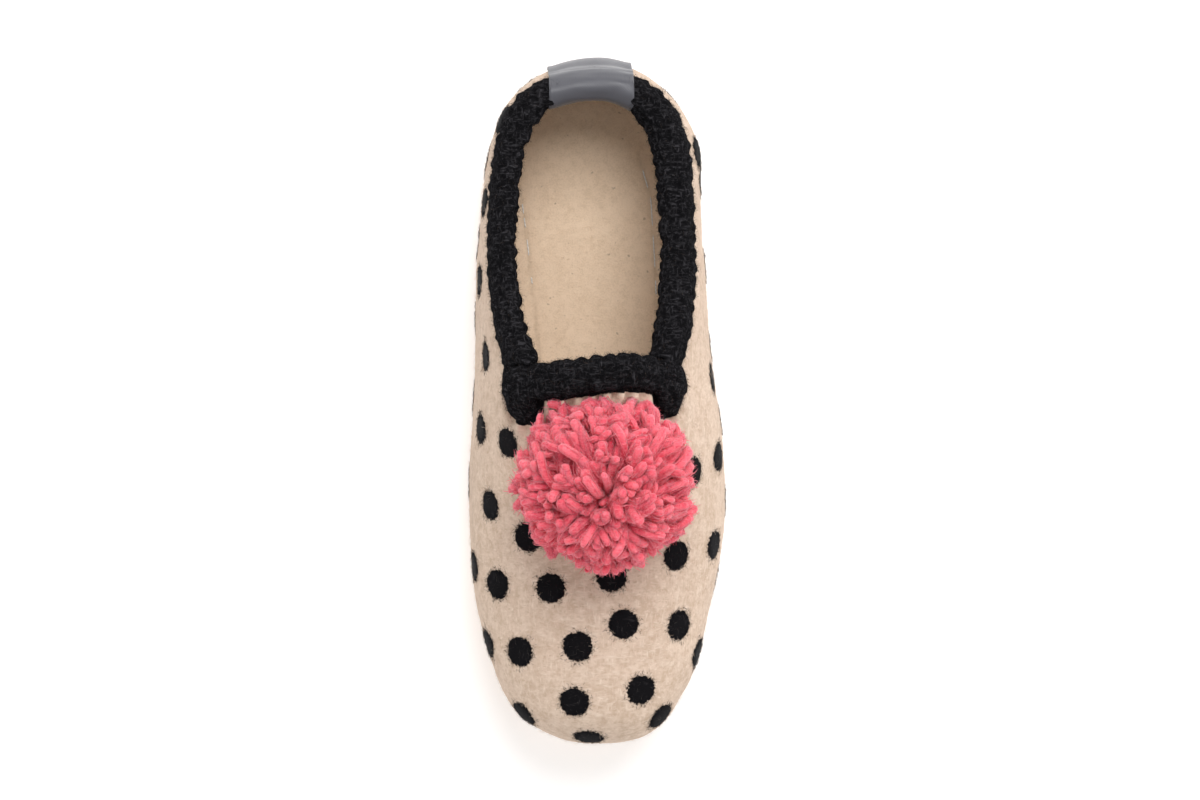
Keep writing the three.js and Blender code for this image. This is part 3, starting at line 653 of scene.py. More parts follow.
def pompom_material():
    pompom = settings("pompom")
    made, tree, shader, vector = new_material(
        "pink wool yarn", 0.88, Sheen_Weight=0.5, Sheen_Roughness=0.35, Specular_IOR_Level=0.1,
        Sheen_Tint=(1.0, 0.72, 0.74, 1.0), Subsurface_Weight=0.35, Subsurface_Radius=(1.0, 0.35, 0.3),
        Subsurface_Scale=2.5 * MM)
    wool = wool_nodes(tree, vector, 1100.0)
    pale, deep = solid(pompom.pale), solid(pompom.deep)
    colour = blend_colours(tree, attribute(tree, "tone"), deep, solid(pompom.pink))
    # Paler toward each strand's tip and deeper toward its root: painted light on the outer ends and painted shade in
    # the gaps between the strands
    colour = blend_colours(tree, span(tree, attribute(tree, "reach"), 0.35, 1.0, 0.0, 0.35), colour, pale)
    colour = blend_colours(tree, span(tree, attribute(tree, "reach"), 0.80, 0.45, 0.0, 0.75), colour, deep)
    colour = blend_colours(tree, span(tree, wool["Fibre"], 0.56, 0.74, 0.0, 0.7), colour, pale)
    colour = blend_colours(tree, span(tree, wool["Fibre"], 0.54, 0.42, 0.0, 0.65), colour, deep)
    tree.links.new(colour, shader.inputs["Base Color"])
    bumped(tree, shader, wool["Height"], 1.4 * MM, 1.0)
    return made


def leather_material():
    sole = settings("sole")
    made, tree, shader, vector = new_material("tan sole leather", 0.62, Specular_IOR_Level=0.35, Coat_Roughness=0.4)
    wide = noise_value(tree, vector, 55.0, 4.0, 0.6)
    pores = add(tree, "ShaderNodeTexVoronoi", {"Vector": vector, "Scale": 1500.0}, feature="F1").outputs[0]
    fine = noise_value(tree, vector, 1400.0, 3.0, 0.7)
    colour = blend_colours(tree, span(tree, wide, 0.35, 0.7, smooth=True), solid(sole.tan_shade), solid(sole.tan))
    colour = blend_colours(tree, span(tree, fine, 0.35, 0.7, 0.30, 0.0), colour, solid(sole.tan_shade))
    lip = span(tree, attribute(tree, "lip_distance"), 0.25, 1.0, 0.85, 0.0, smooth=True)
    colour = blend_colours(tree, lip, colour, solid(sole.amber))
    worn = times(tree, attribute(tree, "tread"), span(tree, wide, 0.42, 0.62, 0.15, 0.6))
    colour = blend_colours(tree, worn, colour, (0.30, 0.22, 0.15, 1.0))
    tree.links.new(colour, shader.inputs["Base Color"])
    tree.links.new(span(tree, fine, 0.3, 0.7, 0.52, 0.74), shader.inputs["Roughness"])
    bumped(tree, shader, plus(tree, times(tree, pores, 0.6), times(tree, fine, 0.5)), 0.15 * MM, 0.5)
    return made


def ribbon_material():
    made, tree, shader, vector = new_material("grey satin ribbon", 0.42, Sheen_Weight=0.15, Specular_IOR_Level=0.55,
                                              Anisotropic=0.4)
    grey = settings("tag").grey
    weft = wave_value(tree, vector, 900.0, "X", Distortion=0.6, Detail=1.0)
    warp = wave_value(tree, vector, 620.0, "DIAGONAL", Distortion=0.6, Detail=1.0)
    wide = noise_value(tree, vector, 120.0, 2.0)
    weave = plus(tree, times(tree, weft, 0.5), times(tree, warp, 0.5))
    darker = tuple(c * 0.75 for c in grey)
    colour = blend_colours(tree, times(tree, plus(tree, weave, wide), 0.5), solid(darker), solid(grey))
    tree.links.new(colour, shader.inputs["Base Color"])
    tree.links.new(span(tree, wide, 0.3, 0.7, 0.34, 0.50), shader.inputs["Roughness"])
    bumped(tree, shader, weave, 0.08 * MM, 0.6)
    return made


def thread_material():
    made, tree, shader, vector = new_material("sewing thread", 0.7, Sheen_Weight=0.2, Specular_IOR_Level=0.3)
    thread = settings("felt").thread
    twist = wave_value(tree, vector, 420.0, "DIAGONAL", Distortion=1.5)
    darker = tuple(c * 0.80 for c in thread)
    tree.links.new(blend_colours(tree, twist, solid(darker), solid(thread)), shader.inputs["Base Color"])
    bumped(tree, shader, twist, 0.15 * MM, 0.6)
    return made


def shared_material(name, maker):
    """The material of that name, made on first use."""
    return bpy.data.materials.get(name) or maker()


def shared_wool(name, *arguments, **options):
    """The plain wool of that name, made on first use."""
    return bpy.data.materials.get(name) or plain_wool(name, *arguments, **options)


# Felt shell

# The foot's middle line inside the shoe: its length as a share of the shoe's, and its height
FOOT_LINE_SHARE = 0.86
FOOT_LINE_HEIGHT = 30 * MM

# How far from a crocheted band the felt still gathers, and each band's gathers: the axis they follow and their height
TRIM_SEARCH = 9 * MM
TRIM_GATHERS = (("throat_trim", 0, 1.9 * MM), ("collar_trim", 1, 0.35 * MM))


def dot_middles(surface):
    """Where the photo's dots and the hidden ones lie on the felt."""
    found = []
    eye = Vector(PHOTO_EYE)
    for column, row in DOT_COLUMNS_ROWS:
        aim = Vector(((column - PHOTO_MIDDLE_COLUMN) * PHOTO_METRES_PER_PIXEL,
                      -(row - PHOTO_MIDDLE_ROW) * PHOTO_METRES_PER_PIXEL, PHOTO_PLANE_HEIGHT))
        found.append(surface.ray_cast(eye, (aim - eye).normalized())[0])
    for dot in DOT_FLANK_ROWS:
        start = Vector((dot["side"] * 100 * MM, dot["along"] * MM, dot["height"] * MM))
        found.append(surface.ray_cast(start, Vector((-dot["side"], 0, 0)))[0])
    for dot in DOT_HEEL_ROWS:
        start = Vector((dot["across"] * MM, 200 * MM, dot["height"] * MM))
        found.append(surface.ray_cast(start, Vector((0, -1, 0)))[0])
    return np.array([tuple(f) for f in found if f is not None])


def outer_side(points, normals):
    """1 where the felt faces away from the foot, 0 inside."""
    count = len(points)
    foot = np.stack([np.zeros(count), points[:, 1] * FOOT_LINE_SHARE, np.full(count, FOOT_LINE_HEIGHT)], axis=1)
    return (np.einsum("ij,ij->i", points - foot, normals) > 0).astype(float)


def make_felt():
    felt = settings("felt")
    piece = copy_of_node("upper", "felt_upper")
    soften(piece, felt.cell, 33)
    mesh = piece.data
    points = places(mesh)
    outside = outer_side(points, directions(mesh))
    dots = dot_middles(surface_of(mesh))
    dot_distance = distance_to_points(points, dots) / (felt.dot_diameter / 2)
    dot_distance = np.where(outside > 0, dot_distance, 4.0)
    move = 0.45 * MM * lumps(points, 17 * MM, 1) + 0.16 * MM * lumps(points, 5 * MM, 2)
    for crease in FELT_CREASES:
        away = distance_to_line(points, np.array(crease["start"]) * MM, np.array(crease["end"]) * MM)
        move -= outside * crease["depth"] * MM * bell(away, crease["width"] * MM)
    move += felt.dot_relief * np.clip(1.15 - dot_distance, 0, 0.3) / 0.3
    trim_distance = np.full(len(points), TRIM_SEARCH / MM)
    for node, axis, height in TRIM_GATHERS:
        band = surface_of(node_mesh(node))
        away = np.array([band.find_nearest(Vector(p), TRIM_SEARCH)[3] or TRIM_SEARCH for p in points])
        gather = np.cos(points[:, axis] / settings("trim").pitch * 2 * math.pi)
        move += outside * height * gather * bell(away - 2.4 * MM, 2.2 * MM)
        trim_distance = np.minimum(trim_distance, away / MM)
    push_out(mesh, move)
    put_values(mesh, "trim_distance", trim_distance)
    put_values(mesh, "dot_distance", dot_distance)
    mesh.materials.append(shared_material("dotted wool felt", felt_material))
    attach(piece, "root")
    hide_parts("upper")
    cream = shared_wool("cream wool hairs", felt.cream, (0.86, 0.74, 0.62))
    black = shared_wool("black wool hairs", felt.dot, (0.03, 0.028, 0.03))
    grey = shared_wool("grey wool hairs", (0.05, 0.045, 0.043), (0.22, 0.19, 0.17))
    # No hair grows inside the shoe, close to the floor or under a band
    bare = outside * np.clip((points[:, 2] - 10 * MM) / (10 * MM), 0, 1) * (trim_distance > 2)
    hairs_on("felt_hairs", piece, bare * (dot_distance > 1.05), cream,
             count=7000, length=felt.hair_length, thickness=0.08 * MM, lie=0.8, seed=3)
    hairs_on("dot_hairs", piece, bare * bell(dot_distance - 0.97, 0.08), black,
             count=9000, length=1.5 * MM, thickness=0.12 * MM, lie=0.92, seed=4)
    hairs_on("dot_flecks", piece, bare * (dot_distance < 0.8), grey,
             count=500, length=1.9 * MM, thickness=0.07 * MM, lie=0.95, seed=5, points=3)


# Footbed

# The two sewn lines, as millimetres across and along, and the first and last of a line's points in each stitch
SEAM_POINTS = 60
FOOTBED_SEAMS = [
    {"across": (-30, -26.5, -23.5, -21), "along": (88, 62, 36, 8),
     "stitches": ((9, 12), (13, 16), (19, 24), (30, 32))},
    {"across": (16.5, 21.5, 23, 25), "along": (95, 78, 54, 8),
     "stitches": ((4, 9), (11, 19), (21, 30), (33, 37))},
]

# What the seam_distance of the footbed says far from both seams, where 1 is the half width of a crease
NO_SEAM = 9.0


def make_footbed():
    felt = settings("felt")
    piece = copy_of_node("insole", "felt_footbed")
    soften(piece, 1.4 * MM, 12)
    mesh = piece.data
    points = places(mesh)
    top = (directions(mesh)[:, 2] > 0.3).astype(float)
    seam_distance = np.full(len(points), NO_SEAM)
    lines = []
    for seam in FOOTBED_SEAMS:
        along = np.linspace(seam["along"][0], seam["along"][-1], SEAM_POINTS)
        across = np.interp(-along, [-a for a in seam["along"]], seam["across"])
        line = np.stack([across, along], axis=1) * MM
        lines.append(line)
        seam_distance = np.minimum(seam_distance, distance_to_points(points[:, :2], line) / (1.6 * MM))
    move = 0.25 * MM * lumps(points, 12 * MM, 4) - top * 0.55 * MM * bell(seam_distance, 1)
    push_out(mesh, move * top)
    put_values(mesh, "seam_distance", np.where(top > 0, seam_distance, NO_SEAM))
    mesh.materials.append(shared_material("footbed felt", footbed_material))
    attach(piece, "root")
    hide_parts("insole")
    surface = surface_of(mesh)
    stitches = []
    for seam, line in zip(FOOTBED_SEAMS, lines):
        for first, last in seam["stitches"]:
            strand = []
            for number in np.linspace(first, last, 6):
                x, y = on_path(number, range(SEAM_POINTS), line)
                hit = surface.ray_cast(Vector((x, y, 80 * MM)), DOWN)[0]
                strand.append(hit + Vector((0, 0, 0.15 * MM)))
            stitches.append(strand)
    thread = sew("footbed_thread", stitches, 0.55 * MM, {"Points": 10, "Sides": 6})
    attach(thread, "root")
    beige = shared_wool("beige wool hairs", felt.footbed_shade, felt.footbed)
    hairs_on("footbed_hairs", piece, top, beige,
             count=2600, length=1.8 * MM, thickness=0.07 * MM, lie=0.97, seed=6)


# Sole

# Rays that find the running stitch's line come from all round the sole and aim at a spine along its middle
SOLE_RAYS = 720
SPINE_HALF_LENGTH = 80 * MM
RAY_START = 170 * MM
SOLE_HALF_WIDTH = 45 * MM


def sole_levels(points):
    """Heights along the sole: places along Y, the height half way up its side and the height of its lip."""
    slices = np.linspace(points[:, 1].min(), points[:, 1].max(), 60)
    low, high = [], []
    for y in slices:
        near = points[np.abs(points[:, 1] - y) < 4 * MM]
        rim = near[np.abs(near[:, 0]) > np.abs(near[:, 0]).max() * 0.9]
        low.append(near[:, 2].min())
        high.append(rim[:, 2].max())
    low, high = (np.convolve(np.pad(values, 1, mode="edge"), EVENING, mode="valid") for values in (low, high))
    return slices, (low + high) / 2, high


def sole_path(surface, slices, half_way):
    """A closed line round the sole's side, half way up it. Each row is a place followed by the normal there."""
    path = []
    for number in range(SOLE_RAYS):
        angle = 2 * math.pi * number / SOLE_RAYS
        spine = np.array([0, SPINE_HALF_LENGTH * math.cos(angle)])
        out = unit(np.array([math.sin(angle), math.cos(angle) * 0.9]))
        start = Vector((*(spine + out * RAY_START), 0.0))
        height = np.interp((spine + out * SOLE_HALF_WIDTH)[1], slices, half_way)
        # The half way height depends on where the ray hits, so three rays come closer to it step by step
        for _ in range(3):
            start.z = height
            hit, normal = surface.ray_cast(start, Vector((-out[0], -out[1], 0)))[:2]
            if hit is None:
                break
            height = float(np.interp(hit.y, slices, half_way))
        if hit is not None:
            path.append((*hit, *normal))
    path = np.array(path)
    path = np.mean([np.roll(path, shift, axis=0) for shift in range(-6, 7)], axis=0)
    return np.vstack([path, path[:1]])


def make_sole():
    sole = settings("sole")
    piece = copy_of_node("outsole", "leather_sole")
    soften(piece, 1.15 * MM, 6)
    mesh = piece.data
    points, normals = places(mesh), directions(mesh)
    slices, half_way, lip = sole_levels(points)
    lip = np.interp(points[:, 1], slices, lip)
    level = np.interp(points[:, 1], slices, half_way)
    faces_aside = np.hypot(normals[:, 0], normals[:, 1]) > 0.6
    groove = 0.28 * MM * bell(points[:, 2] - level, 1.0 * MM) * faces_aside
    ripple = 0.08 * MM * lumps(points, 7 * MM, 8)
    points = points - normals * groove[:, None] + normals * ripple[:, None]
    points[:, 2] = np.maximum(points[:, 2], 0)
    put_places(mesh, points)
    put_values(mesh, "lip_distance", (lip - points[:, 2]) / (2.2 * MM))
    faces_down = np.clip((-normals[:, 2] - 0.6) / 0.3, 0, 1)
    put_values(mesh, "tread", faces_down * np.clip(1.3 - points[:, 2] / (5 * MM), 0, 1))
    mesh.materials.append(shared_material("tan sole leather", leather_material))
    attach(piece, "root")
    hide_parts("outsole")

    path = sole_path(surface_of(mesh), slices, half_way)
    run = run_lengths(path[:, :3])
    count = round(run[-1] / sole.stitch_pitch)
    stitches = []
    for number in range(count):
        middle = (number + 0.5) * run[-1] / count
        strand = []
        for share in np.linspace(-0.5, 0.5, 7):
            spot = on_path((middle + share * sole.stitch_length) % run[-1], run, path)
            lift = 0.35 * MM - 1.3 * MM * abs(2 * share) ** 5
            strand.append(spot[:3] + spot[3:] * lift)
        stitches.append(strand)
    thread = sew("sole_stitches", stitches, 1.15 * MM, {"Points": 12, "Sides": 8, "Lump Height": 0.15 * MM})
    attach(thread, "root")


# Crocheted bands

# The two legs of a stitch on each side of a band: where one starts in the pitch, how far down the side it reaches in
# degrees from the band's top, and how far it leans along the band as a share of the pitch
STITCH_LEGS = (
    {"offset": 0.0, "bottom": 116, "lean": -0.25},
    {"offset": 0.5, "bottom": 100, "lean": 0.55},
)
LEG_TOP = 14

# How far from its middle line a band's surface is looked for
BAND_REACH = 22 * MM


def section_middle(points, edges, origin, facing, out):
    """Middle of the band where a plane through origin cuts it, on the side that out points to."""
    side = (points - origin) @ facing
    first, second = side[edges[:, 0]], side[edges[:, 1]]
    crossing = first * second < 0
    share = first[crossing] / (first[crossing] - second[crossing])
    a, b = points[edges[crossing, 0]], points[edges[crossing, 1]]
    cut = a + (b - a) * share[:, None]
    cut = cut[(cut - origin) @ out > 0]
    if len(cut) < 4:
        return None
    return (cut.min(axis=0) + cut.max(axis=0)) / 2


def band_middles(node, cuts):
    """The band's middle line. Each cut is a plane's place and normal, and the way to the side that counts."""
    mesh = node_mesh(node)
    points = places(mesh)
    edges = np.array([tuple(e.vertices) for e in mesh.edges])
    middles = [section_middle(points, edges, *cut) for cut in cuts]
    return np.array([middle for middle in middles if middle is not None])


def crochet(name, node, middles, upward, wool):
    """Stitches matted onto a band: two slanting legs on each side and a chain along its ridge."""
    pitch, yarn = settings("trim").pitch, settings("trim").yarn
    base = copy_of_node(node, name)
    soften(base, 0.9 * MM, 8)
    mesh = base.data
    push_out(mesh, 0.5 * MM * lumps(places(mesh), 3.2 * MM, 15) - 0.1 * MM)
    mesh.materials.append(wool)
    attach(base, "root")
    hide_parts(node)
    surface = surface_of(mesh)
    run = run_lengths(middles)
    chance = np.random.default_rng(11)
    tag_low, tag_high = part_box("heel_tag")

    def wrap(at, angle, lift):
        """The place at that length along the band, at that angle from its top, lifted off its surface."""
        at = min(max(at, 0.0), run[-1])
        before, spot, after = (on_path(at + step, run, middles) for step in (-2 * MM, 0, 2 * MM))
        tangent = unit(after - before)
        up = unit(upward - (upward @ tangent) * tangent)
        way = math.cos(angle) * up + math.sin(angle) * np.cross(tangent, up)
        hit = surface.ray_cast(Vector(spot + way * BAND_REACH), Vector(-way), BAND_REACH)[0]
        return None if hit is None else np.array(hit) + way * lift

    def shown(spots):
        """The places of a stitch that lie on the band, or none where it is too short or under the ribbon."""
        strand = [spot for spot in spots if spot is not None]
        if len(strand) < 4:
            return []
        middle = np.mean(strand, axis=0)
        beside_tag = middle[1] < tag_low.y or not tag_low.x + 1 * MM < middle[0] < tag_high.x - 1 * MM
        return strand if beside_tag else []

    strands, widths, tones = [], [], []
    for number in range(int(run[-1] / pitch) + 1):
        for leg in STITCH_LEGS:
            at = (number + leg["offset"] + chance.normal(0, 0.09)) * pitch
            for side in (-1, 1):
                shift = chance.normal(0, 0.9 * MM)
                spots = []
                for angle in np.linspace(leg["bottom"] + chance.normal(0, 9), LEG_TOP, 8):
                    slant = (angle - LEG_TOP) / 108 * leg["lean"] * pitch
                    lift = (chance.normal(-0.45, 0.15) - 0.5 * max(angle - 70, 0) / 50) * MM
                    spots.append(wrap(at + slant + shift, side * math.radians(angle), lift))
                strand = shown(spots)
                if strand:
                    strands.append(strand)
                    widths.append(yarn * chance.uniform(0.78, 1.12))
                    tones.append(chance.uniform(0, 1))
        for side in (-1, 1):
            spots = []
            for share in np.linspace(0, 1, 6):
                angle = side * math.radians(34 - 30 * share)
                spots.append(wrap(number * pitch + (share * 1.35 - 0.2) * pitch, angle, chance.normal(-0.3, 0.15) * MM))
            strand = shown(spots)
            if strand:
                strands.append(strand)
                widths.append(yarn * 0.9)
                tones.append(chance.uniform(0, 1))
    loops = strand_mesh(name + "_stitches", strands, widths, tones)
    run_tree(loops, yarn_tree(), {"Points": 11, "Sides": 8, "Lump Height": 1.1 * MM, "Lumps Per Metre": 600.0,
                                  "Material": wool})
    shape = bmesh.new()
    shape.from_mesh(mesh)
    shape.from_mesh(loops.data)
    shape.to_mesh(mesh)
    shape.free()
    bpy.data.objects.remove(loops)
    soften(base, 0.75 * MM, 3)
    push_out(base.data, 0.3 * MM * lumps(places(base.data), 1.6 * MM, 16))
    return base


def make_trims():
    trim = settings("trim")
    black = shared_wool("black crochet wool", trim.black, (0.040, 0.038, 0.042),
                        fibres_per_metre=950.0, height=1.0 * MM)
    fuzz = shared_wool("charcoal wool hairs", trim.black, (0.075, 0.072, 0.078))
    fleck = shared_wool("crochet flecks", (0.03, 0.025, 0.022), trim.fleck)

    # Upright planes that turn about the foot opening's middle cut the collar, and planes across the foot cut the throat
    cuts = []
    for degrees in np.linspace(-152, 152, 153):
        angle = math.radians(degrees)
        facing = np.array([math.cos(angle), -math.sin(angle), 0])
        cuts.append((np.array([0, 60 * MM, 0]), facing, np.array([math.sin(angle), math.cos(angle), 0])))
    middles = band_middles("collar_trim", cuts)
    collar = crochet("collar_crochet", "collar_trim", middles, np.array([0, 0, 1.0]), black)
    cuts = [(np.array([across * MM, -200 * MM, 0]), np.array([1.0, 0, 0]), np.array([0, 1.0, 0]))
            for across in np.linspace(-36.6, 36.6, 60)]
    middles = band_middles("throat_trim", cuts)
    throat = crochet("throat_crochet", "throat_trim", middles, np.array([0, 0.45, 0.9]), black)

    for name, band, count, seed in (("collar", collar, 9000, 21), ("throat", throat, 4000, 22)):
        share = np.clip(directions(band.data)[:, 2] + 0.8, 0, 1)
        hairs_on(name + "_fuzz", band, share, fuzz,
                 count=count, length=1.9 * MM, thickness=0.11 * MM, lie=0.7, seed=seed)
        hairs_on(name + "_flecks", band, share, fleck,
                 count=count // 12, length=2.8 * MM, thickness=0.07 * MM, lie=0.85, seed=seed + 2, points=3)


# Pompom

# Where a strand's points lie along it: close together at its cut end, which comes out round and blunt
STRAND_SHARES = (0, 0.16, 0.32, 0.48, 0.63, 0.77, 0.88, 0.95, 0.985, 1)

# The strand's points that its loose fibres follow
FIBRE_STEPS = (2, 4, 5, 6, 7, 9)

# Places round the pompom's middle, in millimetres, where the slope of the felt under it is taken
SLOPE_PLACES = ((0, 0), (12, 0), (-12, 0), (0, 14), (0, -14))


def make_pompom():
    pompom = settings("pompom")
    low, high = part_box("pompom")
    middle_x, middle_y = (low.x + high.x) / 2, (low.y + high.y) / 2
    felt = surface_of(node_mesh("upper"))
    walls = [felt, surface_of(node_mesh("throat_trim"))]
    seat = felt.ray_cast(Vector((middle_x, middle_y, 200 * MM)), DOWN)[0]
    slope = Vector((0, 0, 0))
    for x, y in SLOPE_PLACES:
        slope += felt.ray_cast(Vector((middle_x + x * MM, middle_y + y * MM, 200 * MM)), DOWN)[1]
    axis = np.array(slope.normalized())
    heart = np.array((middle_x + 0.8 * MM, middle_y + 5.0 * MM, seat.z + 9 * MM))
    across = unit(np.cross(axis, [0, 1.0, 0]))
    along = np.cross(axis, across)
    chance = np.random.default_rng(5)

    def spot(polar, around, radius):
        flat = math.cos(around) * across + math.sin(around) * along
        return heart + radius * (math.cos(polar) * axis * pompom.rise / pompom.radius + math.sin(polar) * flat)

    def outside_walls(place):
        """The place, slid along the felt or the band where one of them lies between it and the heart."""
        for wall in walls:
            way = Vector(place - heart)
            hit, normal = wall.ray_cast(Vector(heart), way.normalized(), way.length + 1.5 * MM)[:2]
            if hit is not None:
                normal = -normal if normal.dot(way) > 0 else normal
                past = Vector(place) - hit
                place = np.array(hit + (past - past.dot(normal) * normal) * 0.6 + normal * 1.7 * MM)
        return place

    strands, widths, tones, fibres, fibre_tones = [], [], [], [], []
    for number in range(pompom.strands):
        # The strands are spread evenly over a ball and a little past its waist, one golden angle after the other
        polar = math.acos(1 - (number + 0.5) / pompom.strands * 1.22)
        around = number * math.pi * (3 - math.sqrt(5)) + chance.normal(0, 0.12)
        flop = math.radians(chance.normal(22, 16)) * math.sin(min(polar + 0.35, math.pi / 2))
        twirl = chance.normal(0, 0.26)
        length = chance.normal(1.0, 0.05)
        aim = [spot(polar, around, 1.0) - heart]
        clump = np.array([lumps(aim, 0.3, seed)[0] for seed in (41, 42, 43)])
        wobble = chance.normal(0, 1, (2, 3)) * 1.3 * MM
        strand = []
        for t in STRAND_SHARES:
            radius = pompom.radius * length * (0.36 + 0.64 * t ** 0.72)
            place = spot(polar - flop * 0.55 + flop * t ** 1.6, around + twirl * t * t, radius)
            place = place + clump * 4.5 * MM * t + wobble[0] * math.sin(math.pi * t) + wobble[1] * t * t
            strand.append(outside_walls(place))
        strands.append(strand)
        width = pompom.yarn * chance.uniform(0.75, 1.15)
        widths.append(width)
        tone = np.clip(chance.normal(0.5, 0.34) + 0.3 * clump[0], 0, 1)
        tones.append(tone)
        ahead = unit(strand[-1] - strand[2])
        first = unit(np.cross(ahead, chance.normal(0, 1, 3)))
        second = np.cross(ahead, first)
        for k in range(pompom.fibres):
            turn, twist = 2 * math.pi * k / pompom.fibres + chance.normal(0, 0.4), chance.normal(0.8, 0.8)
            flare, past = abs(chance.normal(0, 0.75 * MM)), chance.normal(0.5, 0.8) * MM
            fibre = []
            for index in FIBRE_STEPS:
                t = STRAND_SHARES[index]
                out = width * 0.49 + flare * t ** 3 + chance.normal(0, 0.14 * MM)
                aside = math.cos(turn + twist * t) * first + math.sin(turn + twist * t) * second
                fibre.append(strand[index] + aside * out + ahead * past * t ** 4)
            fibres.append(fibre)
            fibre_tones.append(np.clip(tone + chance.normal(0.25, 0.3), 0, 1))
    yarn = shared_material("pink wool yarn", pompom_material)
    piece = strand_mesh("pompom_yarn", strands, widths, tones)
    run_tree(piece, yarn_tree(), {"Resample": False, "Sides": 7, "End Sharpness": 14.0, "Lump Height": 0.9 * MM,
                                  "Lumps Per Metre": 620.0, "Material": yarn})
    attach(piece, "root")
    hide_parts("pompom")
    loose = strand_mesh("pompom_fibres", fibres, 0.34 * MM, fibre_tones)
    run_tree(loose, yarn_tree(), {"Resample": False, "Sides": 3, "End Sharpness": 6.0, "Material": yarn})
    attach(loose, "root")

    core = copy_of_node("pompom", "pompom_core")
    soften(core, 1.8 * MM, 20)
    points = places(core.data)
    foot = np.array(seat)
    put_places(core.data, foot + (points - foot) * (0.58 + 0.05 * lumps(points, 6 * MM, 9))[:, None])
    # The core takes the deepest pink of the roots: painted shade in the gaps between the strands
    put_values(core.data, "tone", np.zeros(len(points)))
    core.data.materials.append(yarn)
    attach(core, "root")

    fuzz = shared_wool("pink wool fuzz", pompom.pink, pompom.pale, fibres_per_metre=1500.0, sheen=0.5)
    share = np.clip((np.linalg.norm(places(piece.data) - heart, axis=1) / pompom.radius - 0.72) * 4, 0, 1)
    hairs_on("pompom_fuzz", piece, share, fuzz,
             count=19500, length=1.9 * MM, thickness=0.12 * MM, lie=0.65, seed=31)


# Heel tag

# A line inside the heel band that the ribbon is folded round, as Y and Z, and the ribbon's two ends as angles round it
TAG_PIVOT_Y = 118.5 * MM
TAG_PIVOT_Z = 45 * MM
TAG_ENDS = (-62, 205)


def make_tag():
    """A smooth sheet over the CAD ribbon, which rays find all the way round a line inside the heel band."""
    tag = settings("tag")
    ribbon = surface_of(node_mesh("heel_tag"))
    low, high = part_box("heel_tag")
    across = np.linspace(low.x + 0.1 * MM, high.x - 0.1 * MM, tag.columns)
    angles = np.radians(np.linspace(*TAG_ENDS, tag.rows))
    rows, columns = len(angles), len(across)
    reach = np.full((rows, columns), np.nan)
    for j, x in enumerate(across):
        for i, angle in enumerate(angles):
            way = Vector((0, math.cos(angle), math.sin(angle)))
            start = Vector((x, TAG_PIVOT_Y, TAG_PIVOT_Z))
            hit = ribbon.ray_cast(start + way * 30 * MM, -way, 30 * MM)[0]
            if hit is not None:
                reach[i, j] = (hit - start).length
    for j in range(columns):
        held = ~np.isnan(reach[:, j])
        reach[:, j] = np.interp(angles, angles[held], reach[held, j])
    for _ in range(10):
        padded = np.pad(reach, 1, mode="edge")
        reach = sum(weight * padded[k:k + rows, 1:-1] for k, weight in enumerate(EVENING))
        padded = np.pad(reach, 1, mode="edge")
        reach = sum(weight * padded[1:-1, k:k + columns] for k, weight in enumerate(EVENING))
    points = []
    for i, angle in enumerate(angles):
        for j, x in enumerate(across):
            radius = reach[i, j] + 0.25 * MM * noise.noise(Vector((x * 90, i * 0.16, 3.0)))
            points.append((x, TAG_PIVOT_Y + radius * math.cos(angle), TAG_PIVOT_Z + radius * math.sin(angle)))
    faces = [(i * columns + j, i * columns + j + 1, (i + 1) * columns + j + 1, (i + 1) * columns + j)
             for i in range(rows - 1) for j in range(columns - 1)]
    mesh = bpy.data.meshes.new("ribbon_tag")
    mesh.from_pydata(points, [], faces)
    piece = new_object("ribbon_tag", mesh)
    thicken = piece.modifiers.new("thickness", "SOLIDIFY")
    thicken.thickness = 0.8 * MM
    thicken.offset = 1.0
    settle(piece)
    piece.data.materials.append(shared_material("grey satin ribbon", ribbon_material))
    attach(piece, "root")
    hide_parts("heel_tag")


# Stage

STUDIO_LIGHTS = (
    {"name": "heel softbox", "place": (0.2, 0.95, 1.6), "aim": (0, 0, 0), "size": 1.2, "power": 26.0},
    {"name": "left fill", "place": (-1.4, 0.1, 0.9), "aim": (0, 0, 0.03), "size": 1.0, "power": 3.0},
    {"name": "outer side fill", "place": (1.5, 0.0, 0.4), "aim": (0, 0, 0.03), "size": 1.0, "power": 7.0},
    {"name": "toe fill", "place": (-0.2, -1.6, 0.4), "aim": (0, 0, 0.03), "size": 1.0, "power": 4.0},
)


def soft_light(name, place, aim, size, power):
    lamp = bpy.data.lights.new(name, "AREA")
    lamp.shape = "DISK"
    lamp.size = size
    lamp.energy = power
    made = new_object(name, lamp)
    made.location = place
    made.rotation_euler = (Vector(aim) - Vector(place)).to_track_quat("-Z", "Y").to_euler()


def floor_material():
    made, tree, shader, vector = new_material("pale studio floor", 0.8, Specular_IOR_Level=0.1)
    tone = span(tree, noise_value(tree, vector, 3.0, 2.0), 0.3, 0.7, 0.97, 1.0)
    colour = blend_colours(tree, tone, (0.86, 0.86, 0.86, 1.0), solid(settings("stage").floor))
    tree.links.new(colour, shader.inputs["Base Color"])
    shader.inputs["Emission Color"].default_value = (1.0, 1.0, 1.0, 1.0)
    shader.inputs["Emission Strength"].default_value = 0.28
    return made


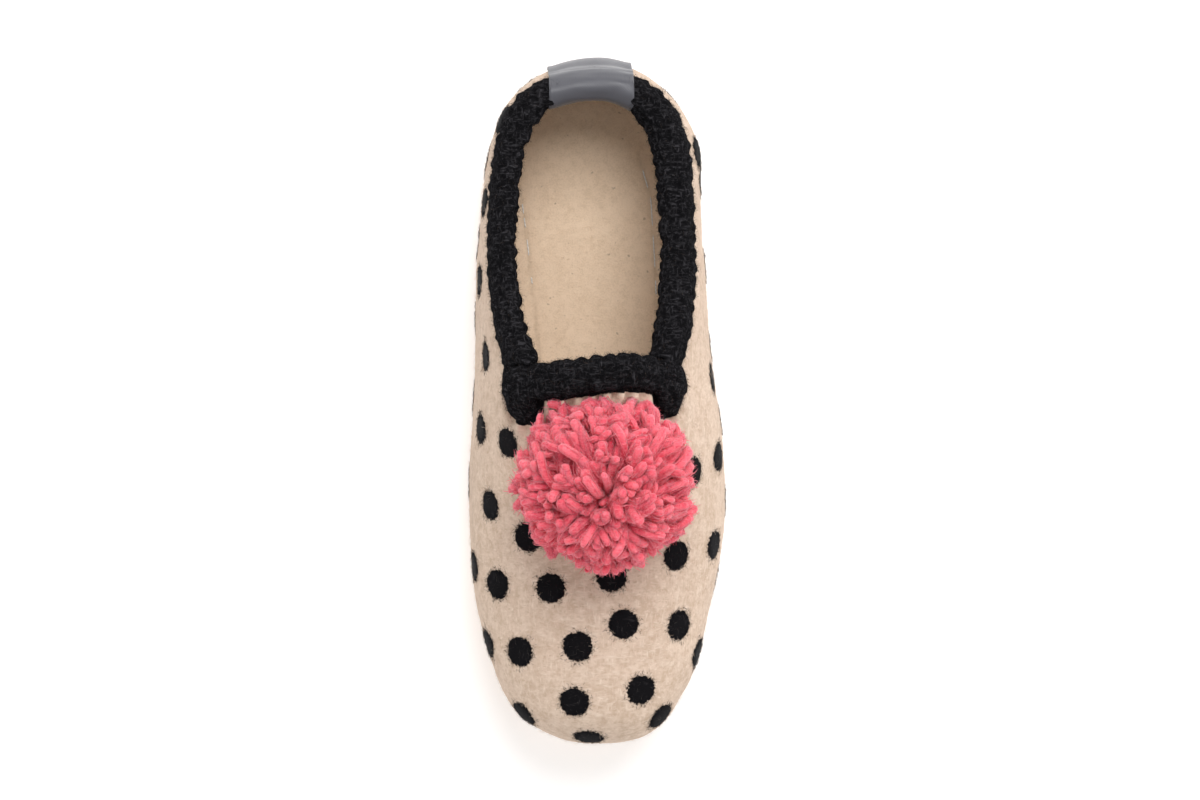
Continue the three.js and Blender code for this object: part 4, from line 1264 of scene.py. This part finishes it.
def make_stage():
    scene = bpy.context.scene
    scene.view_settings.view_transform = "Standard"
    mesh = bpy.data.meshes.new("floor")
    mesh.from_pydata([(-4, -4, 0), (4, -4, 0), (4, 4, 0), (-4, 4, 0)], [], [(0, 1, 2, 3)])
    floor = new_object("floor", mesh)
    mesh.materials.append(floor_material())
    world = bpy.data.worlds.new("studio")
    world.use_nodes = True
    background = world.node_tree.nodes["Background"].inputs
    background["Color"].default_value = (1.0, 1.0, 1.0, 1.0)
    background["Strength"].default_value = 0.55
    scene.world = world
    for light in STUDIO_LIGHTS:
        soft_light(**light)
    lens = bpy.data.cameras.new("photo angle")
    lens.lens = settings("stage").focal
    lens.sensor_width = 36
    camera = new_object("photo angle", lens)
    eye = Vector(PHOTO_EYE)
    ahead = (Vector((0, 0, 0.045)) - eye).normalized()
    right = ahead.cross(Vector((0, 1, 0))).normalized()
    upward = right.cross(ahead)
    camera.matrix_world = Matrix.Translation(eye) @ Matrix((right, upward, -ahead)).transposed().to_4x4()
    scene.camera = camera


# Operators, panel and registration

class SLIPPER_OT_stage(bpy.types.Operator):
    """Makes the floor, the soft studio light and the camera"""
    bl_idname = "slipper.stage"
    bl_label = "Stage"

    def execute(self, context):
        make_stage()
        return {"FINISHED"}


class SLIPPER_OT_felt(bpy.types.Operator):
    """Makes the dotted felt shell and its hairs"""
    bl_idname = "slipper.felt"
    bl_label = "Felt shell"

    def execute(self, context):
        make_felt()
        return {"FINISHED"}


class SLIPPER_OT_footbed(bpy.types.Operator):
    """Makes the felt footbed with its sewn creases"""
    bl_idname = "slipper.footbed"
    bl_label = "Footbed"

    def execute(self, context):
        make_footbed()
        return {"FINISHED"}


class SLIPPER_OT_sole(bpy.types.Operator):
    """Makes the leather sole and its running stitches"""
    bl_idname = "slipper.sole"
    bl_label = "Sole"

    def execute(self, context):
        make_sole()
        return {"FINISHED"}


class SLIPPER_OT_trims(bpy.types.Operator):
    """Makes the two crocheted bands"""
    bl_idname = "slipper.trims"
    bl_label = "Crocheted bands"

    def execute(self, context):
        make_trims()
        return {"FINISHED"}


class SLIPPER_OT_pompom(bpy.types.Operator):
    """Makes the yarn pompom"""
    bl_idname = "slipper.pompom"
    bl_label = "Pompom"

    def execute(self, context):
        make_pompom()
        return {"FINISHED"}


class SLIPPER_OT_tag(bpy.types.Operator):
    """Makes the bare satin ribbon over the heel"""
    bl_idname = "slipper.tag"
    bl_label = "Heel tag"

    def execute(self, context):
        make_tag()
        return {"FINISHED"}


OPERATORS = [
    SLIPPER_OT_stage, SLIPPER_OT_felt, SLIPPER_OT_footbed, SLIPPER_OT_sole, SLIPPER_OT_trims, SLIPPER_OT_pompom,
    SLIPPER_OT_tag,
]
SETTINGS = {
    "felt": FeltSettings, "trim": TrimSettings, "pompom": PompomSettings, "sole": SoleSettings, "tag": TagSettings,
    "stage": StageSettings,
}


class SLIPPER_PT_panel(bpy.types.Panel):
    """Lists the slipper's settings and pieces"""
    bl_idname = "SLIPPER_PT_panel"
    bl_label = "Felt slipper"
    bl_space_type = "VIEW_3D"
    bl_region_type = "UI"
    bl_category = "Slipper"

    def draw(self, context):
        for name, group in SETTINGS.items():
            box = self.layout.box()
            for prop in group.__annotations__:
                box.prop(getattr(context.scene, "slipper_" + name), prop)
        for made in OPERATORS:
            self.layout.operator(made.bl_idname)


def register():
    for made in [*SETTINGS.values(), *OPERATORS, SLIPPER_PT_panel]:
        bpy.utils.register_class(made)
    for name, group in SETTINGS.items():
        setattr(bpy.types.Scene, "slipper_" + name, PointerProperty(type=group))


def unregister():
    for name in SETTINGS:
        delattr(bpy.types.Scene, "slipper_" + name)
    for made in reversed([*SETTINGS.values(), *OPERATORS, SLIPPER_PT_panel]):
        bpy.utils.unregister_class(made)


def main():
    register()
    bpy.ops.slipper.stage()
    bpy.ops.slipper.felt()
    bpy.ops.slipper.footbed()
    bpy.ops.slipper.sole()
    bpy.ops.slipper.trims()
    bpy.ops.slipper.pompom()
    bpy.ops.slipper.tag()


if __name__ == "__main__":
    main()
